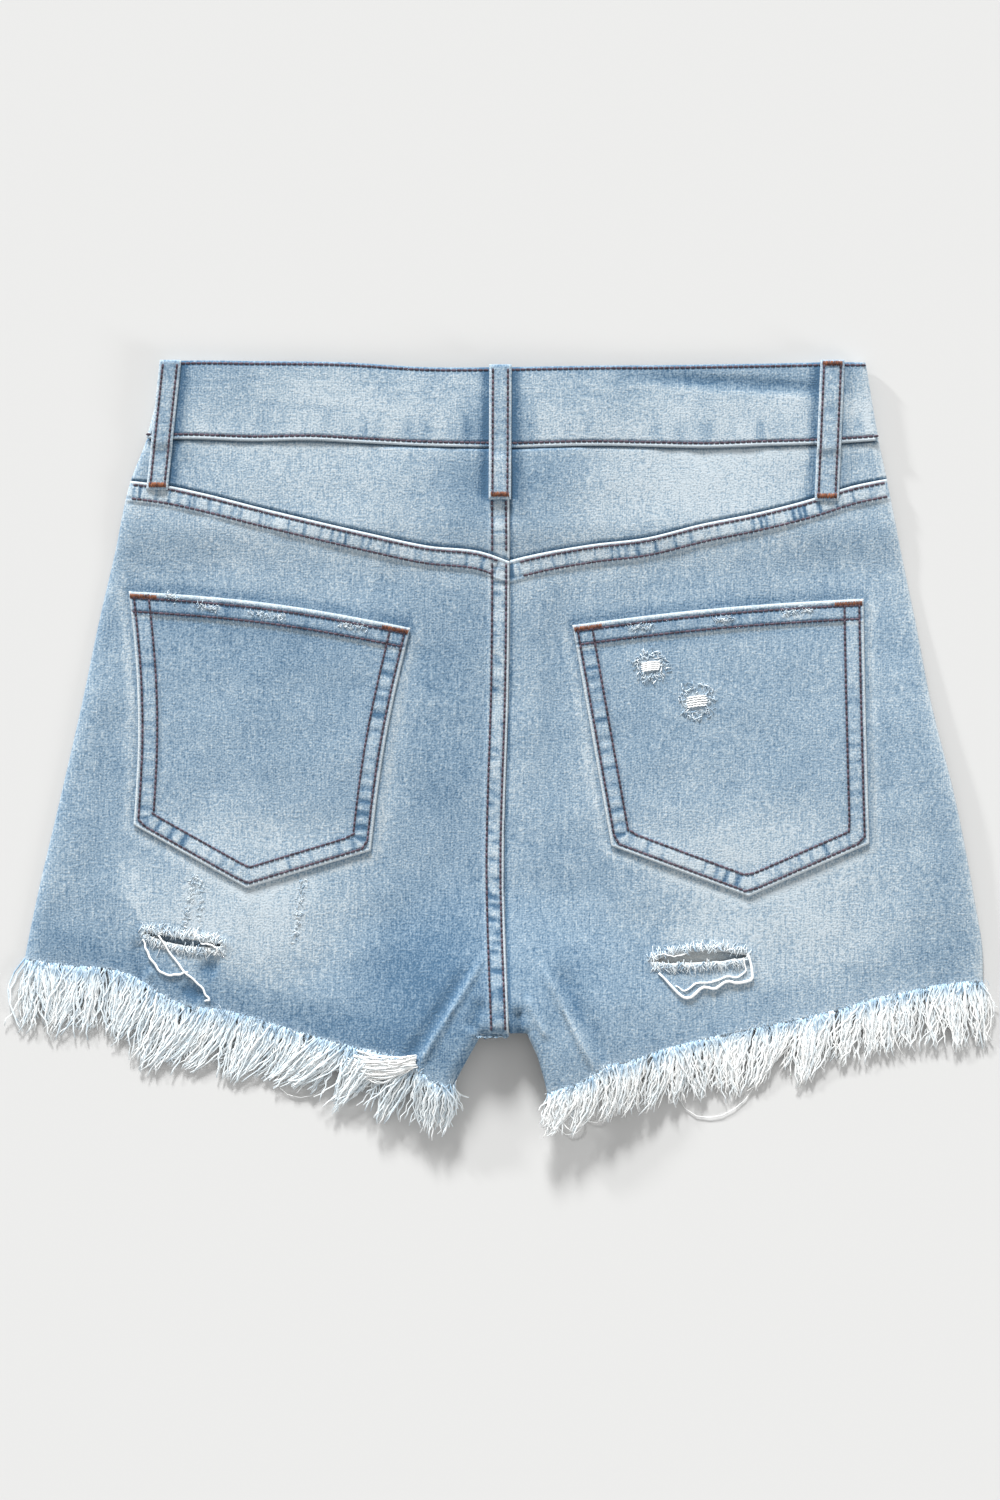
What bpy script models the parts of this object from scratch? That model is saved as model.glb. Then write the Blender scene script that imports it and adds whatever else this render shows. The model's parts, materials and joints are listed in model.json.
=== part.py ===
"""Denim cut-off shorts, laid flat with the back side up. Blender 4.5, metres, +Z up.

+Y runs to the waist and +X to the right as seen from above. The origin lies on the surface the shorts
rest on, under the middle of their outline. Two layers of cloth lie on each other: the fronts below, flat
where they rest, and the yokes and backs above. Both layers lift a little where the thick crotch and the
inner legs hold them up. Every piece is a wall of cloth that reads its height from the same functions, so
neighbours follow each other with a small gap.
"""

import math

import bmesh
import bpy
import numpy as np
from mathutils import Vector

MM = 0.001

# The middle of the outline, mm, in the coordinates of the tables below, whose x = 0 is near the centre
# seam and y = 0 halfway from the waist to the frayed tips. The finished pieces are moved by it.
MIDDLE = (-0.6, -1.1)

# Cloth and gaps, mm.
WALL = 1.2
BAND_WALL = 2.0
LOOP_WALL = 1.5
GAP = 0.3
SEAM_GAP = 0.45  # between two pieces that meet edge to edge along a curved seam
FRONT_INSET = 0.8  # the fronts stop this far inside the outline, under the rounded edge
EASE = 0.6  # air between the two layers where nothing lifts them

# The waist, mm.
BAND_LIFT = 1.8  # the front waistband rests on its loops and button
FRONT_DIP = 12.0  # the waist is cut lower at the centre front
BAND_OVERLAP = 18.0  # each end runs this far past the centre front
FOLD_CLEARANCE = 0.8  # the side folds lean, so their inner wall would dip below the band's lower edge
CLIMB = (22.0, 42.0)  # the inner end climbs over the outer one between these distances from the centre
WAIST_RISE = (88.0, 116.0)  # the fronts climb to the waistband between these heights up the body
ROLL = 7.0  # width of the rounded edge where the upper layer turns down to the lower one
SEAM_X = 2.0  # the centre back seam at the waist
CROTCH_Y = -144.0

# The outline from the waist down, mm: height up the body, left and right edge.
SIDES = (
    # y, left, right
    (196.5, -173.4, 183.6),
    (158.0, -182.6, 190.2),
    (137.5, -190.4, 194.5),
    (101.0, -198.6, 201.8),
    (66.0, -206.8, 209.1),
    (25.0, -215.3, 216.9),
    (-26.0, -227.0, 229.5),
    (-77.0, -238.9, 239.3),
    (-102.0, -244.0, 243.3),
    (-120.0, -247.0, 243.6),
)
# Lines across the body, mm: distance out from the centre seam, height on the left and on the right half.
BAND_TOP = (
    # out, left, right
    (0, 194.6, 194.6),
    (40, 194.6, 195.4),
    (85, 197.3, 195.9),
    (130, 197.9, 196.6),
    (168, 198.0, 197.3),
    (190, 196.6, 197.0),
)
BAND_FOOT = (
    # out, left, right
    (0, 153.6, 153.6),
    (45, 154.6, 154.7),
    (75, 156.2, 154.2),
    (100, 157.6, 153.8),
    (130, 157.2, 154.8),
    (160, 158.2, 155.7),
    (195, 158.2, 157.9),
)
YOKE_SEAM = (
    # out, left, right
    (0, 96.0, 96.0),
    (12, 100.3, 99.0),
    (42, 104.0, 104.5),
    (70, 110.0, 108.0),
    (97, 116.2, 114.7),
    (125, 122.9, 120.4),
    (155, 130.5, 128.1),
    (172, 134.2, 133.6),
    (196, 137.4, 138.7),
)
HEM = (
    # out, left, right
    (19, -168.0, -175.0),
    (40, -168.0, -167.0),
    (48, -159.5, -161.5),
    (60, -155.5, -158.8),
    (80, -151.2, -152.5),
    (108, -143.6, -145.6),
    (140, -134.0, -139.0),
    (172, -127.6, -131.5),
    (187, -118.0, -127.0),
    (196, -113.6, -125.0),
    (224, -110.2, -119.4),
    (249, -106.4, -117.8),
)
# How far the frayed threads reach past the hem, mm: distance out from the centre seam, left and right leg.
FRINGE_REACH = (
    # out, left, right
    (19, 26.0, 23.0),
    (45, 33.0, 27.0),
    (80, 33.0, 31.0),
    (125, 33.0, 38.0),
    (160, 33.0, 34.0),
    (200, 35.0, 33.0),
    (225, 31.0, 32.0),
    (249, 32.0, 31.0),
)
FRINGE_GAP = 0.6
FRINGE_SLANT = 0.18  # sideways lean of the threads at the middle of a leg, as a share of their reach
FRONT_FRINGE_SHARE = 0.75  # the fronts' threads are that much shorter
# The inner leg from the crotch down, mm: height, and x on the left and on the right leg.
INNER_LEG = (
    # y, left, right
    (-144.0, -12.7, 11.0),
    (-156.0, -19.5, 16.5),
    (-168.0, -26.0, 20.0),
    (-175.0, -27.5, 21.5),
)
# The centre back seam wanders a little, mm: height and x.
CENTRE_SEAM = (
    # y, x
    (196.5, 1.5),
    (96.0, 2.4),
    (40.0, 2.0),
    (-65.0, -0.5),
    (-144.0, 2.0),
)
# Lumps that lift both layers, and lumps of air between them, mm: centre, half widths and height.
LIFTS = (
    # name, x, y, half width, half length, height
    ("crotch and inner legs", 0.0, -158.0, 120.0, 92.0, 10.0),
    ("right side", 244.0, -15.0, 60.0, 120.0, 2.6),
)
PUFFS = (
    # name, x, y, half width, half length, height
    ("fly and band ends", 2.0, 150.0, 95.0, 150.0, 2.9),
    ("crotch", 2.0, -120.0, 70.0, 80.0, 1.2),
    ("left seat", -110.0, 15.0, 110.0, 120.0, 1.2),
    ("right seat", 120.0, 10.0, 120.0, 130.0, 1.5),
    ("left leg", -140.0, -90.0, 100.0, 60.0, 0.9),
    ("right leg and side", 205.0, -20.0, 95.0, 150.0, 1.6),
)
MOST_AIR = 3.4

# Patch pockets, mm: the corners, from the seam side round, how far each side edge bows inwards, and how
# far the top edge bows up.
POCKETS = (
    # name, top inner, top outer, foot outer, tip, foot inner, inner bow, outer bow, top bow
    (
        "pocket_back_left",
        (-48.1, 62.1),
        (-191.5, 80.8),
        (-189.1, -38.3),
        (-131.7, -70.4),
        (-68.3, -51.3),
        2.5,
        3.5,
        3.2,
    ),
    (
        "pocket_back_right",
        (34.2, 63.5),
        (182.4, 77.0),
        (185.3, -47.7),
        (123.8, -74.7),
        (54.1, -48.9),
        0.0,
        0.3,
        1.9,
    ),
)
# Belt loops on the back, mm: the middle line's x at the top and the foot, its heights and its width.
BACK_LOOPS = (
    # name, x top, x foot, y top, y foot, width
    ("belt_loop_centre", -2.3, -2.6, 195.8, 127.2, 11.4),
    ("belt_loop_left", -170.0, -177.0, 198.3, 132.2, 11.0),
    ("belt_loop_right", 166.5, 163.6, 198.3, 126.6, 12.4),
)
FRONT_LOOPS = (
    # name, x, width
    ("belt_loop_front_left", -88.0, 11.4),
    ("belt_loop_front_right", 88.0, 11.4),
)
FRONT_LOOP_LENGTH = 62.0

# Worn slits in the backs, mm: the ends of the slit, its widest opening and how much it arches upwards.
SLITS = (
    # name, panel, left end, right end, opening, arch
    ("slit_left", "back_panel_left", (-181.0, -93.5), (-143.0, -99.4), 2.6, -1.6),
    ("slit_right", "back_panel_right", (74.5, -106.8), (122.5, -105.2), 4.4, 0.8),
)

# Fastenings, mm.
BUTTON_RADIUS = 8.5
BUTTON_HEIGHT = 1.5
ZIP_FOOT_Y = 72.0
ZIP_WIDTH = 26.0
ZIP_CLEARANCE = 0.7
ZIP_TAPE_WALL = 0.7
ZIP_TEETH_WIDTH = 5.0
ZIP_TEETH_HEIGHT = 1.3
SLIDER_SIZE = (8.0, 13.0, 0.9)

# Colours, as linear red, green and blue.
DENIM = (0.33, 0.46, 0.56)
PALE_DENIM = (0.47, 0.59, 0.68)
POCKET_DENIM = (0.29, 0.42, 0.53)
COTTON = (0.66, 0.70, 0.72)
BRASS = (0.52, 0.37, 0.17)


def clear_scene():
    for obj in list(bpy.data.objects):
        bpy.data.objects.remove(obj, do_unlink=True)


def smooth(t):
    t = np.clip(t, 0.0, 1.0)
    return t * t * (3.0 - 2.0 * t)


def column(table, key, side):
    """One line of a three-column table as a smooth function of its first column."""
    rows = sorted(table)
    stations = np.array([row[0] for row in rows], float)
    values = np.array([row[side] for row in rows], float)
    slopes = np.gradient(values, stations)
    return float(hermite(key, stations, values, slopes))


def hermite(key, stations, values, slopes):
    """A cubic through the stations, which leaves them at the given slopes and stays level beyond the ends."""
    key = float(np.clip(key, stations[0], stations[-1]))
    i = int(np.clip(np.searchsorted(stations, key) - 1, 0, len(stations) - 2))
    span = stations[i + 1] - stations[i]
    t = (key - stations[i]) / span
    a, b = values[i], values[i + 1]
    m, n = slopes[i] * span, slopes[i + 1] * span
    return (
        (2 * t**3 - 3 * t**2 + 1) * a
        + (t**3 - 2 * t**2 + t) * m
        + (3 * t**2 - 2 * t**3) * b
        + (t**3 - t**2) * n
    )


def side_x(y, hand):
    """The outline's edge at height y; hand is -1 on the left and 1 on the right."""
    return column(SIDES, y, 1 if hand < 0 else 2)


def across(table, x):
    """The height of one of the lines across the body at x."""
    return column(table, abs(x - SEAM_X), 1 if x < SEAM_X else 2)


def inner_leg_x(y, hand):
    return column(INNER_LEG, y, 1 if hand < 0 else 2)


def seam_x(y):
    rows = [(row[0], row[1], row[1]) for row in CENTRE_SEAM]
    return column(rows, y, 1)


def lump(x, y, row):
    """A smooth mound with its middle, half widths and height in the row, and nothing beyond them."""
    _, cx, cy, rx, ry, height = row
    r2 = ((x - cx) / rx) ** 2 + ((y - cy) / ry) ** 2
    return height * max(0.0, 1.0 - r2) ** 2


def lift(x, y):
    """How far the underside of the lower layer lies above the surface."""
    low, high = WAIST_RISE
    waist = BAND_LIFT * float(smooth((y - low) / (high - low)))
    return waist + sum(lump(x, y, row) for row in LIFTS)


def edge_distance(x, y):
    """How far inside the folded edges a point lies: the sides, the crotch and the inner legs."""
    hand = -1 if x < SEAM_X else 1
    side = hand * (side_x(y, hand) - x)
    if y > CROTCH_Y:
        corner = inner_leg_x(CROTCH_Y, hand)
        reach = max(0.0, hand * (x - corner))
        inner = math.hypot(reach, y - CROTCH_Y)
        if hand * (x - corner) < 0:
            inner = y - CROTCH_Y
    else:
        inner = hand * (x - inner_leg_x(y, hand))
    return max(0.0, min(side, inner))


def air(x, y):
    """The air between the layers, which dies away round the folded edges."""
    t = min(1.0, edge_distance(x, y) / ROLL)
    puffs = sum(lump(x, y, row) for row in PUFFS)
    return min(MOST_AIR, EASE + puffs) * math.sqrt(1.0 - (1.0 - t) ** 2)


def back_top(x, y):
    """The upper face of the yokes and backs."""
    return lift(x, y) + WALL + GAP + air(x, y) + WALL


def band_back_top(x, y):
    """The upper face of the waistband's back half."""
    hump = ("band ends", SEAM_X, y, 95.0, 50.0, 2.4)
    return BAND_LIFT + 2 * BAND_WALL + 0.4 + lump(x, y, hump)


def material(name, colour, roughness=0.9, metallic=0.0):
    made = bpy.data.materials.new(name)
    made.use_nodes = True
    shader = made.node_tree.nodes["Principled BSDF"]
    shader.inputs["Base Color"].default_value = (*colour, 1.0)
    shader.inputs["Roughness"].default_value = roughness
    shader.inputs["Metallic"].default_value = metallic
    return made


def add_object(name, bm, finish, wall=0.0, offset=-1.0):
    """The mesh, given in mm, as a named object; a wall thickness makes a sheet solid on its inner side."""
    bmesh.ops.translate(bm, vec=(-MIDDLE[0], -MIDDLE[1], 0.0), verts=bm.verts)
    bmesh.ops.scale(bm, vec=(MM, MM, MM), verts=bm.verts)
    mesh = bpy.data.meshes.new(name)
    bm.to_mesh(mesh)
    bm.free()
    obj = bpy.data.objects.new(name, mesh)
    bpy.context.scene.collection.objects.link(obj)
    mesh.materials.append(finish)
    mesh.shade_smooth()
    mesh.set_sharp_from_angle(angle=math.radians(50))
    if wall:
        solid = obj.modifiers.new("Wall", "SOLIDIFY")
        solid.thickness = wall * MM
        solid.offset = offset
        solid.use_quality_normals = True
    return obj


def spread(count, near_start=(), near_end=()):
    """Stations from 0 to 1: even steps with a few extra ones close to either end."""
    even = np.linspace(0.0, 1.0, count + 1)
    extra = list(near_start) + [1.0 - t for t in near_end]
    return sorted({round(float(t), 5) for t in (*even, *extra)})


def sheet(us, vs, place):
    """A grid of cloth cells, each corner put where place(u, v) says. Its faces point up."""
    bm = bmesh.new()
    bmesh.ops.create_grid(
        bm, x_segments=len(us) - 1, y_segments=len(vs) - 1, size=0.5
    )
    for vert in bm.verts:
        i = round((vert.co.x + 0.5) * (len(us) - 1))
        j = round((vert.co.y + 0.5) * (len(vs) - 1))
        vert.co = Vector(place(us[i], vs[j]))
    bmesh.ops.recalc_face_normals(bm, faces=bm.faces)
    if sum(face.normal.z * face.calc_area() for face in bm.faces) < 0:
        bmesh.ops.reverse_faces(bm, faces=bm.faces)
    return bm


# Shared by each panel and the fringe that hangs from its cut edge, so that their facets follow each other.
BACK_STATIONS = spread(17, near_start=(0.015,), near_end=(0.01, 0.03))
FRONT_STATIONS = spread(12)


def turn_over(bm):
    bmesh.ops.reverse_faces(bm, faces=bm.faces)
    return bm


def blend_edges(u, v, left, right, foot, top):
    """The point of a four-sided patch whose edges are the four given curves, each from 0 to 1."""
    a, b, c, d = (np.array(p, float) for p in (left(v), right(v), foot(u), top(u)))
    corners = [np.array(p, float) for p in (left(0), right(0), left(1), right(1))]
    mixed = (
        (1 - u) * (1 - v) * corners[0]
        + u * (1 - v) * corners[1]
        + (1 - u) * v * corners[2]
        + u * v * corners[3]
    )
    return (1 - u) * a + u * b + (1 - v) * c + v * d - mixed


def along(points, t):
    """The point at a share t of the length of a run of straight stretches."""
    points = [np.array(p, float) for p in points]
    steps = [float(np.linalg.norm(b - a)) for a, b in zip(points, points[1:])]
    left = t * sum(steps)
    for a, b, step in zip(points, points[1:], steps):
        if left <= step or b is points[-1]:
            return a + (b - a) * min(1.0, left / step)
        left -= step
    return points[-1]


def hem_point(hand, foot_line, u, inset=0.0):
    """A point of the cut edge in plan, from the inner leg, u = 0, to the side, u = 1."""
    inner_y = foot_line(SEAM_X + hand * 19.0)
    inner_x = inner_leg_x(inner_y, hand) + hand * inset
    outer_x = side_x(foot_line(side_x(-115.0, hand)), hand) - hand * inset
    x = inner_x + (outer_x - inner_x) * u
    return (x, foot_line(x))


def leg_patch(hand, foot_line, top_line, inset=0.0, seam_gap=GAP / 2):
    """place(u, v) in plan for a back or front: u runs from the inner edge to the side, v from hem to top."""
    hem_start = hem_point(hand, foot_line, 0.0, inset)
    lower = sorted(y for y, _, _ in INNER_LEG if y > hem_start[1])
    inner_leg = [(inner_leg_x(y, hand) + hand * inset, y) for y in lower]
    top_y = top_line(SEAM_X + hand * 0.5)
    seam_ys = np.linspace(CROTCH_Y + inset, top_y, 7)
    seam = [(seam_x(y) + hand * seam_gap, y) for y in seam_ys]
    inner = [hem_start, *inner_leg, *seam]
    foot_y = hem_point(hand, foot_line, 1.0, inset)[1]
    top_end_y = top_line(hand * 194.0 + SEAM_X)
    top_end = side_x(top_end_y, hand) - hand * inset

    def inner_edge(v):
        return along(inner, v)

    def side_edge(v):
        y = foot_y + (top_end_y - foot_y) * v
        return (side_x(y, hand) - hand * inset, y)

    def foot_edge(u):
        return hem_point(hand, foot_line, u, inset)

    def top_edge(u):
        start = inner_edge(1.0)
        x = start[0] + (top_end - start[0]) * u
        return (x, top_line(x))

    return lambda u, v: blend_edges(u, v, inner_edge, side_edge, foot_edge, top_edge)


def side_name(hand):
    return "left" if hand < 0 else "right"


def make_back(hand, finish):
    """The seat and leg below the yoke, with its worn slit cut through."""
    plan = leg_patch(hand, lambda x: across(HEM, x), lambda x: across(YOKE_SEAM, x))

    def place(u, v):
        x, y = plan(u, v)
        return (x, y, back_top(x, y))

    bm = sheet(BACK_STATIONS, spread(17), place)
    return add_object(f"back_panel_{side_name(hand)}", bm, finish, WALL)


def make_yoke(hand, finish):
    def place(u, v):
        def height(x):
            foot = across(YOKE_SEAM, x) + SEAM_GAP
            head = across(BAND_FOOT, x) - SEAM_GAP
            return foot + (head - foot) * v

        y = height(SEAM_X + hand * 190.0 * u)
        start = seam_x(y) + hand * GAP / 2
        x = start + (side_x(y, hand) - start) * u
        return (x, height(x), back_top(x, height(x)))

    us = spread(16, near_end=(0.01, 0.03))
    bm = sheet(us, spread(4), place)
    return add_object(f"yoke_{side_name(hand)}", bm, finish, WALL)


def front_hem(x):
    """The front legs are cut a little shorter, so the backs cover them."""
    return across(HEM, x) + 5.0


def front_top(x):
    """Where the fronts meet the lower edge of the waistband's front half."""
    return front_band_line(BAND_FOOT, x) - SEAM_GAP


def front_band_line(table, x):
    """A waistband edge on the front half: the back's line, dipping towards the centre front."""
    edge = abs(side_x(158.0, -1 if x < SEAM_X else 1) - SEAM_X)
    dip = FRONT_DIP * float(smooth(1.0 - abs(x - SEAM_X) / edge))
    return across(table, x) - dip


def make_front(hand, finish):
    """The front of one leg, face down. Its outer face is the underside, flat where it rests."""
    plan = leg_patch(hand, front_hem, front_top, inset=FRONT_INSET)

    def place(u, v):
        x, y = plan(u, v)
        return (x, y, lift(x, y))

    bm = turn_over(sheet(FRONT_STATIONS, spread(16), place))
    return add_object(f"front_panel_{side_name(hand)}", bm, finish, WALL)


def make_waistband(finish):
    """One strip right round: from its outer end at the centre front, round both side folds, to its inner
    end, which climbs over the outer one."""
    low = BAND_LIFT + BAND_WALL / 2
    high = BAND_LIFT + 1.5 * BAND_WALL + 0.4
    fold = (high - low) / 2
    step = BAND_WALL + GAP
    stations = [(x, "outer") for x in np.linspace(SEAM_X + BAND_OVERLAP, -168.0, 13)]
    stations += [(angle, "left fold") for angle in range(30, 180, 30)]
    stations += [(x, "back") for x in np.linspace(-168.0, 175.0, 27)]
    stations += [(angle, "right fold") for angle in range(150, 0, -30)]
    stations += [(x, "inner") for x in np.linspace(175.0, SEAM_X - BAND_OVERLAP, 17)]
    half = BAND_WALL / 2

    def place(u, v):
        value, stretch = stations[round(u * (len(stations) - 1))]
        if "fold" in stretch:
            hand = -1 if stretch == "left fold" else 1
        else:
            hand = -1 if value < SEAM_X else 1
        line_y = 158.0 + (196.5 - 158.0) * v
        if "fold" in stretch:
            turn = math.radians(value)
            reach = fold + half
            edge = side_x(line_y, hand) - hand * reach
            x = edge + hand * reach * math.sin(turn)
            z = (low + high) / 2 - reach * math.cos(turn)
            share = (1 - math.cos(turn)) / 2
        else:
            limit = -168.0 if hand < 0 else 175.0
            end = side_x(line_y, hand) - hand * (fold + half)
            x = SEAM_X + (value - SEAM_X) * (end - SEAM_X) / (limit - SEAM_X)
            share = 1.0 if stretch == "back" else 0.0
            z = low - half
            if stretch == "inner":
                out = x - SEAM_X
                z += step * float(smooth((CLIMB[1] - out) / (CLIMB[1] - CLIMB[0])))
            if stretch == "back":
                z = band_back_top(x, line_y)
        foot = share * across(BAND_FOOT, x) + (1 - share) * front_band_line(BAND_FOOT, x)
        if "fold" in stretch:
            foot += FOLD_CLEARANCE * math.sin(turn)
        head = share * across(BAND_TOP, x) + (1 - share) * front_band_line(BAND_TOP, x)
        return (x, foot + (head - foot) * v, z)

    us = [i / (len(stations) - 1) for i in range(len(stations))]
    bm = sheet(us, spread(2), place)
    return add_object("waistband", face_from_core(bm), finish, BAND_WALL)


def face_from_core(bm):
    """Faces point away from the strip's own middle, so that its wall grows inwards."""
    back = max(bm.faces, key=lambda face: face.calc_center_median().z)
    if back.normal.z < 0:
        bmesh.ops.reverse_faces(bm, faces=bm.faces)
    return bm


def pocket_plan(row):
    """place(u, v) in plan: u from the inner to the outer side edge, v from the pointed foot to the top."""
    _, top_in, top_out, foot_out, tip, foot_in, bow_in, bow_out, bow_top = row
    def bowed(a, b, bow, t):
        point = np.array(a) + (np.array(b) - np.array(a)) * t
        inwards = 1.0 if top_out[0] > top_in[0] else -1.0
        return point + np.array((inwards * bow * math.sin(math.pi * t), 0.0))

    def inner_edge(v):
        return bowed(foot_in, top_in, bow_in, v)

    def outer_edge(v):
        return bowed(foot_out, top_out, -bow_out, v)

    def foot_edge(u):
        share = abs(tip[0] - foot_in[0]) / abs(foot_out[0] - foot_in[0])
        if u < share:
            return np.array(foot_in) + (np.array(tip) - np.array(foot_in)) * u / share
        return np.array(tip) + (np.array(foot_out) - np.array(tip)) * (u - share) / (1 - share)

    def top_edge(u):
        point = np.array(top_in) + (np.array(top_out) - np.array(top_in)) * u
        return point + np.array((0.0, bow_top * math.sin(math.pi * u)))

    return lambda u, v: blend_edges(u, v, inner_edge, outer_edge, foot_edge, top_edge)


def make_pocket(row, finish):
    """A patch pocket on the back: made from the panel's own surface, moved out."""
    plan = pocket_plan(row)

    def place(u, v):
        x, y = plan(u, v)
        return (x, y, back_top(x, y) + GAP + WALL)

    share = abs(row[4][0] - row[5][0]) / abs(row[3][0] - row[5][0])
    bm = sheet(spread(12, near_start=(share,)), spread(10), place)
    return add_object(row[0], bm, finish, WALL)


def make_back_loop(row, finish):
    """A strip sewn on at the waistband's top edge and on the yoke, clear of the band between."""
    name, x_top, x_foot, y_top, y_foot, width = row

    def under(x, y):
        foot = across(BAND_FOOT, x)
        on_band = smooth((y - foot + 7.0) / 6.0)
        return back_top(x, y) * (1 - on_band) + band_back_top(x, y) * on_band

    def place(u, v):
        y = y_foot + (y_top - y_foot) * v
        x = x_foot + (x_top - x_foot) * v
        z = max(under(x - width / 2, y), under(x, y), under(x + width / 2, y))
        return (x + width * (u - 0.5), y, z + GAP + LOOP_WALL)

    bm = sheet(spread(2), spread(16), place)
    return add_object(name, bm, finish, LOOP_WALL)


def make_front_loop(row, finish):
    """A loop of the front half, which the waistband rests on."""
    name, x, width = row
    top = front_band_line(BAND_TOP, x) - 1.0

    def place(u, v):
        return (x + width * (u - 0.5), top - FRONT_LOOP_LENGTH * (1 - v), 0.0)

    bm = turn_over(sheet(spread(2), spread(4), place))
    return add_object(name, bm, finish, LOOP_WALL)


def make_button(finish):
    """The waist button's head, under the outer end of the band, which it holds off the surface."""
    y = (front_band_line(BAND_TOP, SEAM_X) + front_band_line(BAND_FOOT, SEAM_X)) / 2
    bm = bmesh.new()
    made = bmesh.ops.create_cone(
        bm,
        cap_ends=True,
        segments=32,
        radius1=BUTTON_RADIUS,
        radius2=BUTTON_RADIUS,
        depth=BUTTON_HEIGHT,
    )
    bmesh.ops.translate(bm, verts=made["verts"], vec=(SEAM_X, y, BUTTON_HEIGHT / 2))
    rims = [edge for edge in bm.edges if abs(edge.verts[0].co.z - edge.verts[1].co.z) < 1e-6]
    bmesh.ops.bevel(bm, geom=rims, offset=0.4, segments=2, affect="EDGES")
    return add_object("button", bm, finish)


def make_zip(finish):
    """The fly zip on the inner side of the fronts, between the layers: tape, and a raised row of teeth."""
    head_y = front_top(SEAM_X) - 1.0
    half = ZIP_WIDTH / 2
    teeth = ZIP_TEETH_WIDTH / 2
    us = (-half, -teeth - 0.5, -teeth, teeth, teeth + 0.5, half)

    def base(y):
        return lift(SEAM_X, y) + WALL + ZIP_CLEARANCE

    def ring(y):
        high = [ZIP_TAPE_WALL, ZIP_TAPE_WALL, ZIP_TEETH_HEIGHT]
        tops = [(SEAM_X + u, y, base(y) + h) for u, h in zip(us, high + high[::-1])]
        return [(SEAM_X + half, y, base(y)), (SEAM_X - half, y, base(y)), *tops]

    return loft("zip_tape", [ring(y) for y in np.linspace(ZIP_FOOT_Y, head_y, 9)], finish)


def loft(name, rings, finish):
    """A closed solid through rings of points, capped at both ends."""
    bm = bmesh.new()
    loops = [[bm.verts.new(point) for point in ring] for ring in rings]
    for a, b in zip(loops, loops[1:]):
        for i in range(len(a)):
            j = (i + 1) % len(a)
            bm.faces.new((a[i], a[j], b[j], b[i]))
    bm.faces.new(loops[0])
    bm.faces.new(loops[-1][::-1])
    bmesh.ops.recalc_face_normals(bm, faces=bm.faces)
    return add_object(name, bm, finish)


def make_slider(finish):
    """The zip's slider at the head of the closed teeth, with its pull lying down."""
    wide, long, high = SLIDER_SIZE
    head_y = front_top(SEAM_X) - 6.0
    base = lift(SEAM_X, head_y) + WALL + ZIP_CLEARANCE + ZIP_TEETH_HEIGHT + GAP
    bm = bmesh.new()
    made = bmesh.ops.create_cube(bm, size=1.0)
    bmesh.ops.scale(bm, vec=(wide, long, high), verts=made["verts"])
    bmesh.ops.translate(
        bm, vec=(SEAM_X, head_y - long / 2, base + high / 2), verts=made["verts"]
    )
    bmesh.ops.bevel(bm, geom=list(bm.edges), offset=0.3, segments=1, affect="EDGES")
    return add_object("zip_slider", bm, finish)


def make_fringe(hand, layer, finish):
    """The plain solid that the frayed threads of one cut edge reach through, from the hem to their tips,
    which lie on the surface."""
    back = layer == "back"
    hem = (lambda x: across(HEM, x)) if back else front_hem
    reach_share = 1.0 if back else FRONT_FRINGE_SHARE
    rings = []
    for u in BACK_STATIONS if back else FRONT_STATIONS:
        x, y = hem_point(hand, hem, u, 0.0 if back else FRONT_INSET)
        root = y - FRINGE_GAP
        reach = reach_share * column(FRINGE_REACH, abs(x - SEAM_X), 1 if hand < 0 else 2)
        sway = hand * FRINGE_SLANT * reach * math.sin(math.pi * min(1.0, 1.15 * (1 - u)))
        ring = []
        for part in (0.0, 0.5, 1.0):
            px, py = x + sway * part, root - reach * part
            fall = 1.0 - float(smooth(part))
            low = lift(x, root) * fall
            if back:
                low += WALL + GAP + (air(x, root) + 0.1) * fall
            high = low + WALL * (1.0 - 0.2 * part)
            ring.append(((px, py, low), (px, py, high)))
        rings.append([low for low, _ in ring] + [high for _, high in reversed(ring)])
    return loft(f"fringe_{layer}_{side_name(hand)}", rings, finish)


def cut_slit(row, panel):
    """A lens-shaped cut right through the panel, along the worn line."""
    name, _, start, end, opening, arch = row
    a, b = np.array(start), np.array(end)
    count = 10
    upper, lower = [], []
    for i in range(count + 1):
        t = i / count
        middle = a + (b - a) * t + np.array((0.0, arch * math.sin(math.pi * t)))
        half = 0.12 + opening / 2 * math.sin(math.pi * t) ** 0.7
        upper.append(middle + np.array((0.0, half)))
        lower.append(middle - np.array((0.0, half)))
    ring = lower + upper[::-1]
    base = back_top(*((a + b) / 2))
    rings = [[(x, y, base + z) for x, y in ring] for z in (-WALL - 3.0, 3.0)]
    cutter = loft(name, rings, panel.data.materials[0])
    cutter.hide_render = True
    cutter.display_type = "WIRE"
    cut = panel.modifiers.new("Worn slit", "BOOLEAN")
    cut.object = cutter
    cut.operation = "DIFFERENCE"


def main():
    clear_scene()
    denim = material("washed denim", DENIM)
    pale = material("faded denim", PALE_DENIM)
    pocket_denim = material("pocket denim", POCKET_DENIM)
    cotton = material("frayed cotton", COTTON)
    brass = material("aged brass", BRASS, roughness=0.4, metallic=1.0)

    backs = {}
    for hand in (-1, 1):
        panel = make_back(hand, denim)
        backs[panel.name] = panel
        make_yoke(hand, pale)
        make_front(hand, denim)
        make_fringe(hand, "back", cotton)
        make_fringe(hand, "front", cotton)
    for row in SLITS:
        cut_slit(row, backs[row[1]])
    make_waistband(pale)
    for row in POCKETS:
        make_pocket(row, pocket_denim)
    for row in BACK_LOOPS:
        make_back_loop(row, pale)
    for row in FRONT_LOOPS:
        make_front_loop(row, pale)
    make_button(brass)
    make_zip(denim)
    make_slider(brass)


main()
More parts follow.
